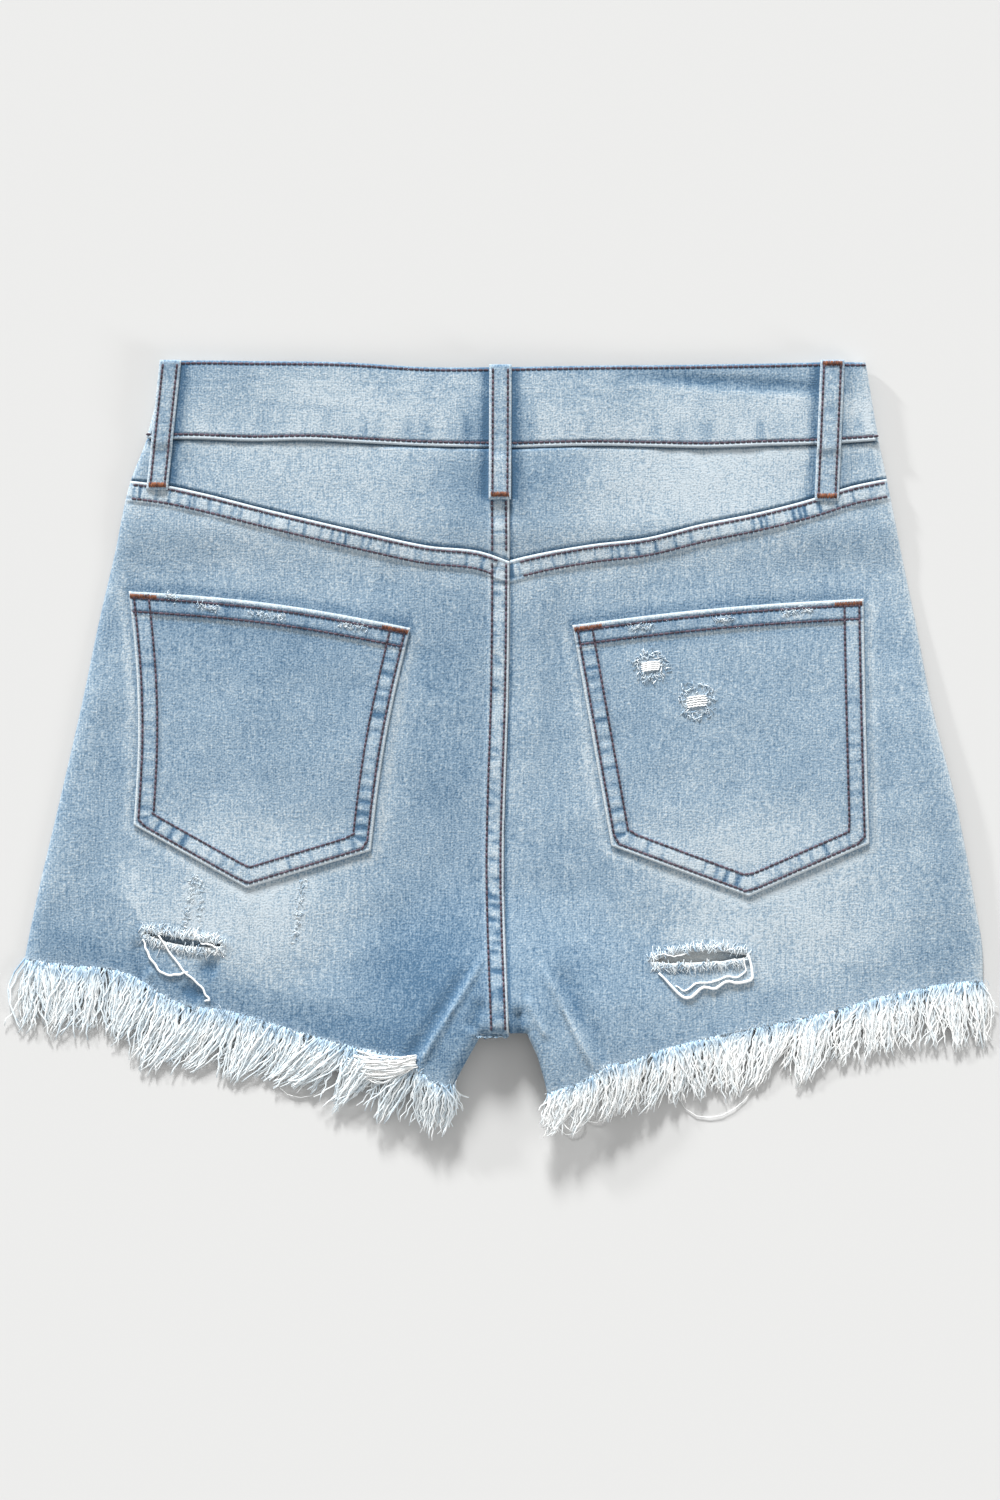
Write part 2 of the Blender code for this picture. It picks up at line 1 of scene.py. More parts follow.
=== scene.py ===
"""Denim cut-off shorts laid flat, back side up: the finish of every piece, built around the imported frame.

Sizes in the tables and functions are in millimetres in the cut's own coordinates: x = 0 is near the
centre back seam and y = 0 lies halfway from the waist to the frayed tips. MIDDLE moves them to the origin.
"""

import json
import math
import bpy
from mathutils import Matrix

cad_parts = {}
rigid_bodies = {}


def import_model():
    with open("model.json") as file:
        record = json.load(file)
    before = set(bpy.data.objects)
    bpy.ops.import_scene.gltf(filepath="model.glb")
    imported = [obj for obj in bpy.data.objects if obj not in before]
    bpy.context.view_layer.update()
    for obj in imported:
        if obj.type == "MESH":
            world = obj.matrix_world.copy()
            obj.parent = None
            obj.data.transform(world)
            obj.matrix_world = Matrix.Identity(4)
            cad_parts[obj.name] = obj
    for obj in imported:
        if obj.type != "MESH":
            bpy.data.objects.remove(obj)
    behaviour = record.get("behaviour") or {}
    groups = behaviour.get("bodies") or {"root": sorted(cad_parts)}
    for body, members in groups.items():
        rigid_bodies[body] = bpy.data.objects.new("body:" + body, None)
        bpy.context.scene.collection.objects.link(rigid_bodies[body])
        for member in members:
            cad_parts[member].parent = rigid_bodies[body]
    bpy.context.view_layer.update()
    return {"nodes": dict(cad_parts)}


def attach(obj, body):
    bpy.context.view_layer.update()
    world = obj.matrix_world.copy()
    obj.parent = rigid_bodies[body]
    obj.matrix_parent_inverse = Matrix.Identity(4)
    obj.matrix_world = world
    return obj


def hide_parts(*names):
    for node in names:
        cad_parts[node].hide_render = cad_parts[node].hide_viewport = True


bl_info = {
    "name": "Denim Shorts",
    "version": (1, 0, 0),
    "blender": (4, 5, 0),
    "location": "3D View > Sidebar > Shorts",
    "description": "Builds the cloth, stitching, worn threads and frayed hems of laid-flat denim shorts",
    "category": "Object",
}

import bpy
import numpy as np
from mathutils import Vector

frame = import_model()

MM = 0.001
MIDDLE = (-0.6, -1.1)
WALL = 1.2
BAND_WALL = 2.0
LOOP_WALL = 1.5
POCKET_WALL = 0.85
GAP = 0.3
FRONT_INSET = 3.2
FRONT_SHORTER = 5.0
EASE = 0.6
# How far the right-hand pieces run under the left ones, a yoke under its back, and it under the waistband.
TUCK = 2.2
HEAD_TUCK = 2.0
BAND_LIFT = 1.8
BAND_GAP = 0.4
BAND_FOOT_Y = 158.0
BAND_TOP_Y = 196.5
BAND_DEPTH = BAND_TOP_Y - BAND_FOOT_Y
BAND_ENDS = (-168.0, 175.0)
BAND_HUMP = ("band ends", 2.0, 176.0, 95.0, 80.0, 2.4)
FRONT_DIP = 12.0
BAND_OVERLAP = 18.0
CLIMB = (22.0, 42.0)
WAIST_RISE = (88.0, 116.0)
ROLL = 7.0
SEAM_X = 2.0
CROTCH_Y = -144.0
MOST_AIR = 3.4

SIDES = (
    # y, left, right
    (196.5, -173.4, 183.6),
    (158.0, -182.6, 190.2),
    (137.5, -190.4, 194.5),
    (101.0, -198.6, 201.8),
    (66.0, -206.8, 209.1),
    (25.0, -215.3, 216.9),
    (-26.0, -227.0, 229.5),
    (-77.0, -238.9, 239.3),
    (-102.0, -244.0, 243.3),
    (-120.0, -247.0, 243.6),
)
BAND_TOP = (
    # out from the centre seam, left, right
    (0, 194.6, 194.6),
    (40, 194.6, 195.4),
    (85, 197.3, 195.9),
    (130, 197.9, 196.6),
    (168, 198.0, 197.3),
    (190, 196.6, 197.0),
)
BAND_FOOT = (
    (0, 153.6, 153.6),
    (45, 154.6, 154.7),
    (75, 156.2, 154.2),
    (100, 157.6, 153.8),
    (130, 157.2, 154.8),
    (160, 158.2, 155.7),
    (195, 158.2, 157.9),
)
YOKE_SEAM = (
    (0, 96.0, 96.0),
    (12, 100.3, 99.0),
    (42, 104.0, 104.5),
    (70, 110.0, 108.0),
    (97, 116.2, 114.7),
    (125, 122.9, 120.4),
    (155, 130.5, 128.1),
    (172, 134.2, 133.6),
    (196, 137.4, 138.7),
)
HEM = (
    (19, -168.0, -175.0),
    (40, -168.0, -167.0),
    (48, -159.5, -161.5),
    (60, -155.5, -158.8),
    (80, -151.2, -152.5),
    (108, -143.6, -145.6),
    (140, -134.0, -139.0),
    (172, -127.6, -131.5),
    (187, -118.0, -127.0),
    (196, -113.6, -125.0),
    (224, -110.2, -119.4),
    (249, -106.4, -117.8),
)
INNER_LEG = (
    # y, left, right
    (-144.0, -12.7, 11.0),
    (-156.0, -19.5, 16.5),
    (-168.0, -26.0, 20.0),
    (-175.0, -27.5, 21.5),
)
CENTRE_SEAM = (
    # y, x, x
    (196.5, 1.5, 1.5),
    (96.0, 2.4, 2.4),
    (40.0, 2.0, 2.0),
    (-65.0, -0.5, -0.5),
    (-144.0, 2.0, 2.0),
)
LIFTS = (
    # name, x, y, half width, half length, height
    ("crotch and inner legs", 0.0, -158.0, 120.0, 92.0, 10.0),
    ("right side", 244.0, -15.0, 60.0, 120.0, 2.6),
)
PUFFS = (
    ("fly and band ends", 2.0, 150.0, 95.0, 150.0, 2.9),
    ("crotch", 2.0, -120.0, 70.0, 80.0, 1.2),
    ("left seat", -110.0, 15.0, 110.0, 120.0, 1.2),
    ("right seat", 120.0, 10.0, 120.0, 130.0, 1.5),
    ("left leg", -140.0, -90.0, 100.0, 60.0, 0.9),
    ("right leg and side", 205.0, -20.0, 95.0, 150.0, 1.6),
)
POCKETS = (
    # name, top inner, top outer, foot outer, tip, foot inner, inner bow, outer bow, top bow
    ("pocket_back_left", (-48.1, 62.1), (-191.5, 80.8), (-189.1, -38.3), (-131.7, -70.4),
     (-68.3, -51.3), 2.5, 3.5, 3.2),
    ("pocket_back_right", (34.2, 63.5), (182.4, 77.0), (185.3, -47.7), (123.8, -74.7),
     (54.1, -48.9), 0.0, 0.3, 1.9),
)
LOOPS = (
    # name, x at the top, x at the foot, y at the top, y at the foot, width
    ("belt_loop_centre", -2.3, -2.6, 195.8, 127.2, 11.4),
    ("belt_loop_left", -170.0, -177.0, 198.3, 132.2, 11.0),
    ("belt_loop_right", 166.5, 163.6, 198.3, 126.6, 12.4),
)
FRONT_LOOPS = (
    ("belt_loop_front_left", -88.0, 11.4),
    ("belt_loop_front_right", 88.0, 11.4),
)
FRONT_LOOP_LENGTH = 62.0
LOOP_ROW = 1.9
SLITS = (
    # name, hand, left end, right end, opening, arch
    ("slit_left", -1, (-184.0, -93.0), (-143.0, -99.4), 3.2, -1.6),
    ("slit_right", 1, (74.5, -107.5), (123.5, -105.0), 5.2, 0.8),
)
# Soft ridges and troughs in the backs, mm: their two ends, half width and height.
CREASES = (
    # name, x, y, x, y, half width, height
    ("left inner leg fold", -12.7, -108.6, -44.9, -161.2, 1.4, 1.8),
    ("trough beside it", -19.0, -112.0, -51.0, -160.0, 4.0, -1.0),
    ("right inner leg fold", 19.9, -112.2, 44.4, -161.2, 1.4, 1.9),
    ("trough beside that", 28.0, -112.0, 52.0, -158.0, 4.5, -1.0),
    ("short fold at the right crotch", 10.7, -125.5, 20.9, -146.0, 1.8, 1.2),
    ("recess right of the crotch seam", 6.5, -132.0, 6.5, -147.0, 3.0, -2.4),
    ("hollow between the crotch and the left leg", -12.0, -128.0, -17.0, -142.0, 4.0, -1.2),
    ("crease at the left hem", -188.0, -98.0, -184.5, -121.0, 2.6, -1.0),
    ("ridge by the left hem crease", -179.5, -112.0, -186.0, -121.0, 2.0, 0.8),
    ("dip under the left slit", -154.0, -109.0, -147.0, -113.0, 4.0, -0.9),
    ("dip left of it", -164.0, -121.0, -155.0, -126.0, 3.5, -0.7),
    ("seat fold left", -60.0, 92.0, -40.0, 40.0, 9.0, -0.5),
    ("seat fold right", 30.0, 80.0, 22.0, -30.0, 8.0, -0.5),
    ("thigh fold right", 196.0, 60.0, 215.0, -80.0, 10.0, 0.6),
    ("thigh fold left", -205.0, 40.0, -222.0, -70.0, 9.0, 0.5),
)
# Faded and unfaded areas, with painted shade in two dents and beside the centre belt loop: middle, half
# widths, turn in degrees, and change of tone.
FADES_AND_SHADE = (
    # name, x, y, half width, half length, turn, tone
    ("left yoke light", -92.0, 138.0, 55.0, 24.0, -8.0, 0.12),
    ("right yoke light", 108.0, 138.0, 62.0, 22.0, 8.0, 0.30),
    # Unfaded cloth with painted shade beside the centre belt loop.
    ("yoke dark left of the loop", -16.0, 134.0, 13.0, 20.0, 0.0, -0.22),
    ("yoke dark right of the loop", 16.0, 140.0, 20.0, 22.0, 0.0, -0.22),
    ("seat dark left", -28.0, 25.0, 20.0, 90.0, 0.0, -0.12),
    ("thigh dark left of the centre", -40.0, -118.0, 38.0, 36.0, -10.0, -0.46),
    ("thigh dark right of the centre", 44.0, -94.0, 34.0, 44.0, 14.0, -0.27),
    ("left thigh pale", -134.0, -88.0, 48.0, 32.0, -6.0, 0.32),
    ("right thigh pale", 122.0, -86.0, 84.0, 38.0, 0.0, 0.29),
    ("right yoke side", 180.0, 143.0, 16.0, 18.0, 0.0, -0.12),
    ("middle of the left seat", -30.0, 0.0, 16.0, 60.0, 0.0, -0.08),
    ("left outer seat", -206.0, 25.0, 14.0, 60.0, 0.0, -0.10),
    ("right outer seat", 202.0, 25.0, 14.0, 60.0, 0.0, -0.10),
    ("right leg at the side", 224.0, -76.0, 20.0, 26.0, 0.0, -0.10),
    ("below the right slit", 78.0, -118.0, 16.0, 9.0, 0.0, -0.12),
    ("left of the left slit", -174.0, -78.0, 14.0, 18.0, -20.0, -0.10),
    ("right of the crotch", 22.0, -128.0, 14.0, 20.0, 0.0, -0.10),
    ("left leg at the side", -206.0, -86.0, 24.0, 20.0, 0.0, -0.07),
    # Painted shade in the two dents by the left slit and hem.
    ("dent under the left slit", -150.5, -111.0, 6.0, 4.5, 0.0, -0.40),
    ("dent by the left hem", -159.5, -123.5, 7.0, 3.6, -15.0, -0.34),
    ("left edge dark", -222.0, -70.0, 22.0, 50.0, 0.0, -0.04),
    ("right edge dark", 226.0, -60.0, 20.0, 70.0, 0.0, -0.06),
    ("left hem dark", -140.0, -126.0, 110.0, 11.0, -17.0, -0.30),
    ("right hem dark", 140.0, -128.0, 120.0, 9.0, 17.0, -0.12),
    ("left outer thigh", -206.0, -30.0, 16.0, 30.0, -14.0, -0.08),
    ("right of the centre, low", 84.0, -92.0, 16.0, 26.0, 30.0, -0.10),
)
# The line on the left leg beside which the cloth is paler.
LEG_FOLD = ((-199.0, -48.0), (-195.0, -68.0), (-187.0, -85.0), (-180.0, -94.0))
POCKET_FADES = (
    ("left tip light", -130.0, -56.0, 52.0, 24.0, 0.0, 0.22),
    ("left top dark", -120.0, 55.0, 70.0, 18.0, -7.0, -0.14),
    ("left middle dark", -112.0, 5.0, 50.0, 40.0, 0.0, -0.08),
    ("right tip light", 120.0, -56.0, 62.0, 26.0, 0.0, 0.26),
    ("right inner dark", 70.0, 0.0, 24.0, 50.0, 0.0, -0.05),
)
BAND_FADES_AND_SHADE = (
    ("unfaded crease", 122.0, 186.0, 36.0, 3.2, -4.0, -0.52),
    ("its left end", 84.0, 190.0, 26.0, 3.6, 0.0, -0.30),
    ("left end dark", -148.0, 184.0, 30.0, 14.0, 0.0, -0.24),
    ("middle left", -50.0, 178.0, 46.0, 12.0, 0.0, -0.06),
    ("thin crease", -105.0, 174.6, 28.0, 1.8, -4.0, -0.16),
    # Unfaded cloth with painted shade beside the centre belt loop.
    ("dark left of the loop", -14.0, 163.0, 9.0, 14.0, 0.0, -0.34),
    ("dark right of the loop", 8.0, 166.0, 6.0, 16.0, 0.0, -0.30),
    ("right end dark", 176.0, 188.0, 9.0, 10.0, 0.0, -0.14),
    ("right of the centre", 48.0, 176.0, 34.0, 12.0, 0.0, -0.06),
    ("left middle", -105.0, 180.0, 36.0, 10.0, 0.0, 0.10),
    ("right end of the crease", 146.0, 188.5, 14.0, 4.5, -4.0, -0.34),
    ("beyond the right loop", 179.0, 168.0, 7.0, 10.0, 0.0, 0.16),
)
# Small abraded places: middle, half widths, turn and strength.
SCUFFS = (
    # name, x, y, half width, half length, turn, strength
    ("under the left pocket, outer", -160.5, -76.0, 4.0, 15.0, -8.0, 0.34),
    ("under the left pocket, inner", -104.0, -81.0, 3.2, 16.0, -6.0, 0.34),
    ("left pocket hem, outer", -151.5, 73.5, 6.0, 3.0, -8.0, 0.5),
    ("left pocket hem, middle", -121.0, 69.5, 8.0, 2.4, -8.0, 0.5),
    ("left pocket hem, inner", -77.0, 63.0, 8.0, 3.2, -8.0, 0.5),
    ("right pocket hem, inner", 70.0, 61.5, 6.0, 3.0, 6.0, 0.45),
    ("right pocket hem, middle", 111.0, 64.5, 6.0, 2.8, 6.0, 0.5),
    ("right pocket hem, outer", 149.0, 69.0, 8.0, 3.2, 6.0, 0.5),
    ("over the right slit", 88.0, -93.5, 8.0, 4.0, 0.0, 0.3),
)
# How dark the cloth is left and right of each belt loop: unfaded cloth and painted shade.
HALO_SIDES = {
    "belt_loop_centre": (0.78, 0.70),
    "belt_loop_left": (0.10, 0.68),
    "belt_loop_right": (0.60, 0.14),
}
BASE_TONE = {"back": 0.56, "yoke": 0.62, "band": 0.84, "pocket": 0.54, "front": 0.52, "loop": 0.64}


def smooth(t):
    t = np.clip(t, 0.0, 1.0)
    return t * t * (3.0 - 2.0 * t)


def line(table, key, side):
    """One column of a table as a smooth function of its first one, level beyond its ends."""
    rows = np.array(sorted(table), float)
    stations, values = rows[:, 0], rows[:, side]
    slopes = np.gradient(values, stations)
    key = np.clip(np.asarray(key, float), stations[0], stations[-1])
    i = np.clip(np.searchsorted(stations, key) - 1, 0, len(stations) - 2)
    span = stations[i + 1] - stations[i]
    t = (key - stations[i]) / span
    a, b, m, n = values[i], values[i + 1], slopes[i] * span, slopes[i + 1] * span
    t2, t3 = t * t, t * t * t
    return (2 * t3 - 3 * t2 + 1) * a + (t3 - 2 * t2 + t) * m + (3 * t2 - 2 * t3) * b + (t3 - t2) * n


def side_x(y, hand):
    return line(SIDES, y, 1 if hand < 0 else 2)


def across(table, x):
    out = np.abs(np.asarray(x, float) - SEAM_X)
    return np.where(x < SEAM_X, line(table, out, 1), line(table, out, 2))


def inner_leg_x(y, hand):
    return line(INNER_LEG, y, 1 if hand < 0 else 2)


def seam_x(y):
    return line(CENTRE_SEAM, y, 1)


def lump(x, y, row):
    _, cx, cy, rx, ry, height = row
    r2 = ((x - cx) / rx) ** 2 + ((y - cy) / ry) ** 2
    return height * np.maximum(0.0, 1.0 - r2) ** 2


def blob(x, y, row):
    """A soft patch, turned by its angle, that fades out at about twice its half widths."""
    _, cx, cy, rx, ry, turn, amount = row
    c, s = math.cos(math.radians(turn)), math.sin(math.radians(turn))
    px, py = (x - cx) * c + (y - cy) * s, (y - cy) * c - (x - cx) * s
    return amount * np.exp(-0.7 * ((px / rx) ** 2 + (py / ry) ** 2) ** 1.3)


def lift(x, y):
    low, high = WAIST_RISE
    waist = BAND_LIFT * smooth((y - low) / (high - low))
    return waist + sum(lump(x, y, row) for row in LIFTS)


def edge_distance(x, y):
    """How far inside the folded edges a point lies: the sides, the crotch and the inner legs."""
    found = np.zeros(np.broadcast(x, y).shape)
    for hand in (-1, 1):
        side = hand * (side_x(y, hand) - x)
        corner = inner_leg_x(CROTCH_Y, hand)
        over = hand * (x - corner)
        above = np.where(over < 0, y - CROTCH_Y, np.hypot(over, y - CROTCH_Y))
        inner = np.where(y > CROTCH_Y, above, hand * (x - inner_leg_x(y, hand)))
        found = np.where(hand * (x - SEAM_X) >= 0, np.minimum(side, inner), found)
    return np.maximum(0.0, found)


def waves(x, y, size, seed, count=9):
    """Smooth wandering from -1 to 1 with features of about the given size."""
    rng = np.random.default_rng(seed)
    total = 0.0
    for _ in range(count):
        angle, phase = rng.uniform(0, math.pi), rng.uniform(0, 2 * math.pi)
        k = 2 * math.pi / (size * rng.uniform(1.4, 3.0))
        total = total + np.sin(k * (x * math.cos(angle) + y * math.sin(angle)) + phase)
    return total / math.sqrt(count * 1.5)


def bars(s, seed, spacing=(3.0, 9.0), widths=(0.6, 1.5)):
    """Puckers across a seam: narrow bumps at uneven places and strengths along it, from 0 to about 1."""
    rng = np.random.default_rng(seed)
    total, place = np.zeros(np.shape(s)), -330.0
    while place < 330.0:
        place += rng.uniform(*spacing)
        total = total + rng.uniform(0.3, 1.0) * np.exp(-(((s - place) / rng.uniform(*widths)) ** 2))
    return total * (0.45 + 0.55 * smooth(0.5 + 0.9 * waves(s, 0 * s, 30.0, seed + 1)))


def near(d, middle, width):
    return np.exp(-(((d - middle) / width) ** 2))


def window(d, low, high, soft=0.5):
    return smooth((d - low) / soft + 0.5) * smooth((high - d) / soft + 0.5)


def to_line(points, x, y):
    """Signed distance from a run of straight stretches (left of its course is positive) and how far along."""
    points = np.array(points, float)
    best = np.full(np.shape(x), 1e9)
    signed, along = np.zeros(np.shape(x)), np.zeros(np.shape(x))
    run = 0.0
    for a, b in zip(points[:-1], points[1:]):
        step = b - a
        length = math.hypot(*step)
        ux, uy = step / length
        t = np.clip((x - a[0]) * ux + (y - a[1]) * uy, 0.0, length)
        dx, dy = x - a[0] - ux * t, y - a[1] - uy * t
        d = np.hypot(dx, dy)
        closer = d < best
        best = np.where(closer, d, best)
        signed = np.where(closer, d * np.sign(ux * dy - uy * dx), signed)
        along = np.where(closer, run + t, along)
        run += length
    return signed, along


def offset_run(points, distance):
    """The run moved to its left by the distance, with mitred corners."""
    points = np.array(points, float)
    steps = np.diff(points, axis=0)
    normals = np.stack([-steps[:, 1], steps[:, 0]], 1) / np.linalg.norm(steps, axis=1)[:, None]
    before = np.vstack([normals[:1], normals])
    after = np.vstack([normals, normals[-1:]])
    mitre = before + after
    mitre /= np.maximum(0.3, (mitre * before).sum(1))[:, None]
    return points + mitre * distance


def evenly(points, pitch, start=0.0, end=0.0):
    """Points at even steps along a run, with the direction there."""
    points = np.array(points, float)
    steps = np.linalg.norm(np.diff(points, axis=0), axis=1)
    run = np.concatenate([[0], np.cumsum(steps)])
    count = max(2, int((run[-1] - start - end) / pitch))
    at = start + (np.arange(count) + 0.5) * (run[-1] - start - end) / count
    x, y = np.interp(at, run, points[:, 0]), np.interp(at, run, points[:, 1])
    i = np.clip(np.searchsorted(run, at) - 1, 0, len(steps) - 1)
    step = (points[i + 1] - points[i]) / steps[i][:, None]
    return np.stack([x, y], 1), step, at


# ---- Outlines and seam lines ----------------------------------------------------------------------------


def yoke_run(hand):
    """The yoke seam's upper edge from the side to the centre on the left, and back out on the right."""
    outs = np.linspace(196.0, 0.0, 40) if hand < 0 else np.linspace(0.0, 196.0, 40)
    x = SEAM_X + hand * outs
    y = across(YOKE_SEAM, x)
    return np.stack([x, y], 1)


def band_foot_run():
    x = np.linspace(float(side_x(BAND_FOOT_Y, -1)), float(side_x(BAND_FOOT_Y, 1)), 60)
    return np.stack([x, across(BAND_FOOT, x)], 1)


def band_top_run():
    x = np.linspace(float(side_x(BAND_TOP_Y, -1)), float(side_x(BAND_TOP_Y, 1)), 60)
    return np.stack([x, across(BAND_TOP, x)], 1)


def centre_run(low=-143.0, high=153.0):
    y = np.linspace(low, high, 30)
    return np.stack([seam_x(y), y], 1)


def bowed(a, b, bow, t):
    t = np.asarray(t)[..., None]
    point = np.array(a) + (np.array(b) - np.array(a)) * t
    return point + np.concatenate([bow * np.sin(math.pi * t), 0 * t], -1)


def pocket_edges(row):
    """The four edge curves of a pocket, each from 0 to 1: inner, outer, foot and top."""
    _, top_in, top_out, foot_out, tip, foot_in, bow_in, bow_out, bow_top = row
    inwards = 1.0 if top_out[0] > top_in[0] else -1.0
    share = abs(tip[0] - foot_in[0]) / abs(foot_out[0] - foot_in[0])
    corners = np.array([foot_in, tip, foot_out], float)

    def foot(u):
        stations = [0.0, share, 1.0]
        return np.stack([np.interp(u, stations, corners[:, i]) for i in (0, 1)], -1)

    def top(u):
        point = bowed(top_in, top_out, 0.0, u)
        point[..., 1] += bow_top * np.sin(math.pi * np.asarray(u))
        return point

    return (
        lambda v: bowed(foot_in, top_in, inwards * bow_in, v),
        lambda v: bowed(foot_out, top_out, -inwards * bow_out, v),
        foot,
        top,
        share,
    )


def pocket_side_run(row):
    """Down the inner side, round the pointed foot and up the outer side."""
    inner, outer, foot, _, share = pocket_edges(row)
    t = np.linspace(0, 1, 12)
    foot_t = np.array([0.5 * share, share, 0.5 + 0.5 * share])
    return np.vstack([inner(1 - t), foot(foot_t), outer(t)])


def pocket_top_run(row):
    return pocket_edges(row)[3](np.linspace(0, 1, 14))


def pocket_hand(row):
    """1 where the side run keeps the pocket on its left."""
    return 1.0 if row[1][0] < row[2][0] else -1.0


def pocket_distances(row):
    """A function of x and y: how far in from the pocket's sides and how far along them, then from its top."""
    side, top, hand = pocket_side_run(row), pocket_top_run(row), pocket_hand(row)

    def read(x, y):
        d, s = to_line(side, x, y)
        dt, st = to_line(top, x, y)
        return hand * d, s, -hand * dt, st

    return read


def pocket_seed(row):
    return 41 if row[0].endswith("left") else 51


def below_hem(dt):
    """1 below the hem along a pocket's top, and 0 on it."""
    return smooth((dt - POCKET_HEM_ROWS[1]) / 2.0)


def patch(edges, u, v):
    """The points of a four-sided patch between its inner, outer, foot and top edges."""
    inner, outer, foot, top = edges[:4]
    a, b, c, d = inner(v), outer(v), foot(u), top(u)
    zero, one = np.array(0.0), np.array(1.0)
    p00, p10, p01, p11 = inner(zero), outer(zero), inner(one), outer(one)
    u, v = u[..., None], v[..., None]
    mixed = (1 - u) * (1 - v) * p00 + u * (1 - v) * p10 + (1 - u) * v * p01 + u * v * p11
    return (1 - u) * a + u * b + (1 - v) * c + v * d - mixed


def run_at(points, t):
    points = np.array(points, float)
    steps = np.linalg.norm(np.diff(points, axis=0), axis=1)
    run = np.concatenate([[0], np.cumsum(steps)])
    at = np.asarray(t) * run[-1]
    return np.stack([np.interp(at, run, points[:, i]) for i in (0, 1)], -1)


def leg_edges(hand, foot_line, top_line, inset=0.0):
    inner_y = float(foot_line(SEAM_X + hand * 19.0))
    start_x = float(inner_leg_x(inner_y, hand)) + hand * inset
    lower = [y for y, _, _ in sorted(INNER_LEG) if y > inner_y]
    inner_run = [(start_x, inner_y)]
    inner_run += [(float(inner_leg_x(y, hand)) + hand * inset, y) for y in lower]
    top_y = float(top_line(SEAM_X + hand * 0.5))
    inner_run += [(float(seam_x(y)) + hand * 0.1, y) for y in np.linspace(CROTCH_Y + inset, top_y, 9)]
    foot_y = float(foot_line(side_x(-115.0, hand)))
    foot_x = float(side_x(foot_y, hand)) - hand * inset
    end_y = float(top_line(hand * 194.0 + SEAM_X))

    def side(v):
        y = foot_y + (end_y - foot_y) * np.asarray(v)
        return np.stack([side_x(y, hand) - hand * inset, y], -1)

    def foot(u):
        x = start_x + (foot_x - start_x) * np.asarray(u)
        return np.stack([x, foot_line(x)], -1)

    def top(u):
        a, b = run_at(inner_run, 1.0)[0], side(1.0)[0]
        x = a + (b - a) * np.asarray(u)
        return np.stack([x, top_line(x)], -1)

    return (lambda v: run_at(inner_run, v)), side, foot, top


# ---- Heights of the finished cloth ----------------------------------------------------------------------

# The lap of a felled seam, and how far in from an edge each row of its stitches lies.
SEAM_WIDTH = 10.4
ROWS = (1.8, 8.9)
POCKET_ROWS = (2.3, 9.8)
POCKET_HEM_ROWS = (3.2, 10.2)
BAND_ROWS = (2.3, 1.5)


def felled(d, s, seed, height=0.75):
    """The raised, twice-stitched lap of a felled seam: d is how far in from its folded edge."""
    body = smooth((d + 0.3) / 0.8) * smooth((SEAM_WIDTH + 1.2 - d) / 2.0)
    grooves = 0.34 * sum(near(d, row, 0.55) for row in ROWS)
    pucker = 0.42 * bars(s, seed, (2.6, 8.0), (0.6, 1.0)) * window(d, ROWS[0], ROWS[1])
    sag = 0.12 * waves(s, 0 * s, 9.0, seed + 5)
    return (height + sag) * body - grooves - pucker


def crease_height(x, y):
    total = np.zeros(np.shape(x))
    for _, x0, y0, x1, y1, width, height in CREASES:
        step = np.array((x1 - x0, y1 - y0))
        length = math.hypot(*step)
        ux, uy = step / length
        t = ((x - x0) * ux + (y - y0) * uy) / length
        d = (y - y0) * ux - (x - x0) * uy
        ends = smooth((t + 0.12) / 0.3) * smooth((1.12 - t) / 0.3)
        total = total + height * ends * np.exp(-((d / width) ** 2))
    return total


def crease_wear_and_shade(x, y):
    """Ridges are rubbed pale; troughs are darker with their depth, unfaded blue and painted shade."""
    return 0.16 * np.clip(crease_height(x, y), -1.5, 1.5)


def slit_distance(x, y, row):
    """How far outside the slit's opening a point lies, mm."""
    _, _, (ax, ay), (bx, by), opening, arch = row
    t = (x - ax) / (bx - ax)
    inside = np.clip(t, 0.0, 1.0)
    wander = 0.45 * waves(x, 0 * x, 3.0, int(abs(ax)))
    middle = ay + (by - ay) * inside + arch * np.sin(math.pi * inside)
    half = (0.15 + opening / 2 * np.sin(math.pi * inside) ** 0.7) * (1 + wander * 0.4)
    beyond = np.maximum(0.0, np.maximum(-t, t - 1.0)) * abs(bx - ax)
    return np.hypot(np.maximum(0.0, np.abs(y - middle) - half), beyond), y - middle


def body_top(x, y):
    """The upper face of the backs and yokes before their seams, rolled under at the folded edges."""
    low = lift(x, y) + WALL + 0.05
    puffs = sum(lump(x, y, row) for row in PUFFS)
    full = lift(x, y) + WALL + GAP + np.minimum(MOST_AIR, EASE + puffs) + WALL
    t = np.minimum(1.0, edge_distance(x, y) / ROLL)
    return low + (full - low) * np.sqrt(np.maximum(0.0, 1.0 - (1.0 - t) ** 2))


def softness(x, y):
    fade = smooth(edge_distance(x, y) / 12.0)
    return fade * (0.22 * waves(x, y, 34.0, 3) + 0.10 * waves(x, y, 11.0, 4))


def back_skin(hand):
    """One back as it lies: seams, creases, slit lips and cut edge. The right one tucks under the left."""

    def skin(x, y):
        z = body_top(x, y) + softness(x, y) + crease_height(x, y)
        d, s = to_line(yoke_run(hand), x, y)
        z = z + felled(-d, s, 11 + hand)
        d, s = to_line(centre_run(), x, y)
        if hand < 0:
            return leg_details(x, y, z + felled(d, s, 21))
        return leg_details(x, y, z - 1.5 * smooth((d + 0.9) / 1.6))

    return skin


def leg_details(x, y, z):
    for row in SLITS:
        away, _ = slit_distance(x, y, row)
        z = z + 0.7 * np.exp(-((away / 3.2) ** 2))
    above = y - across(HEM, x)
    return z + 0.25 * waves(x, 0 * x, 5.0, 8) * np.exp(-np.maximum(above, 0.0) / 4.0)


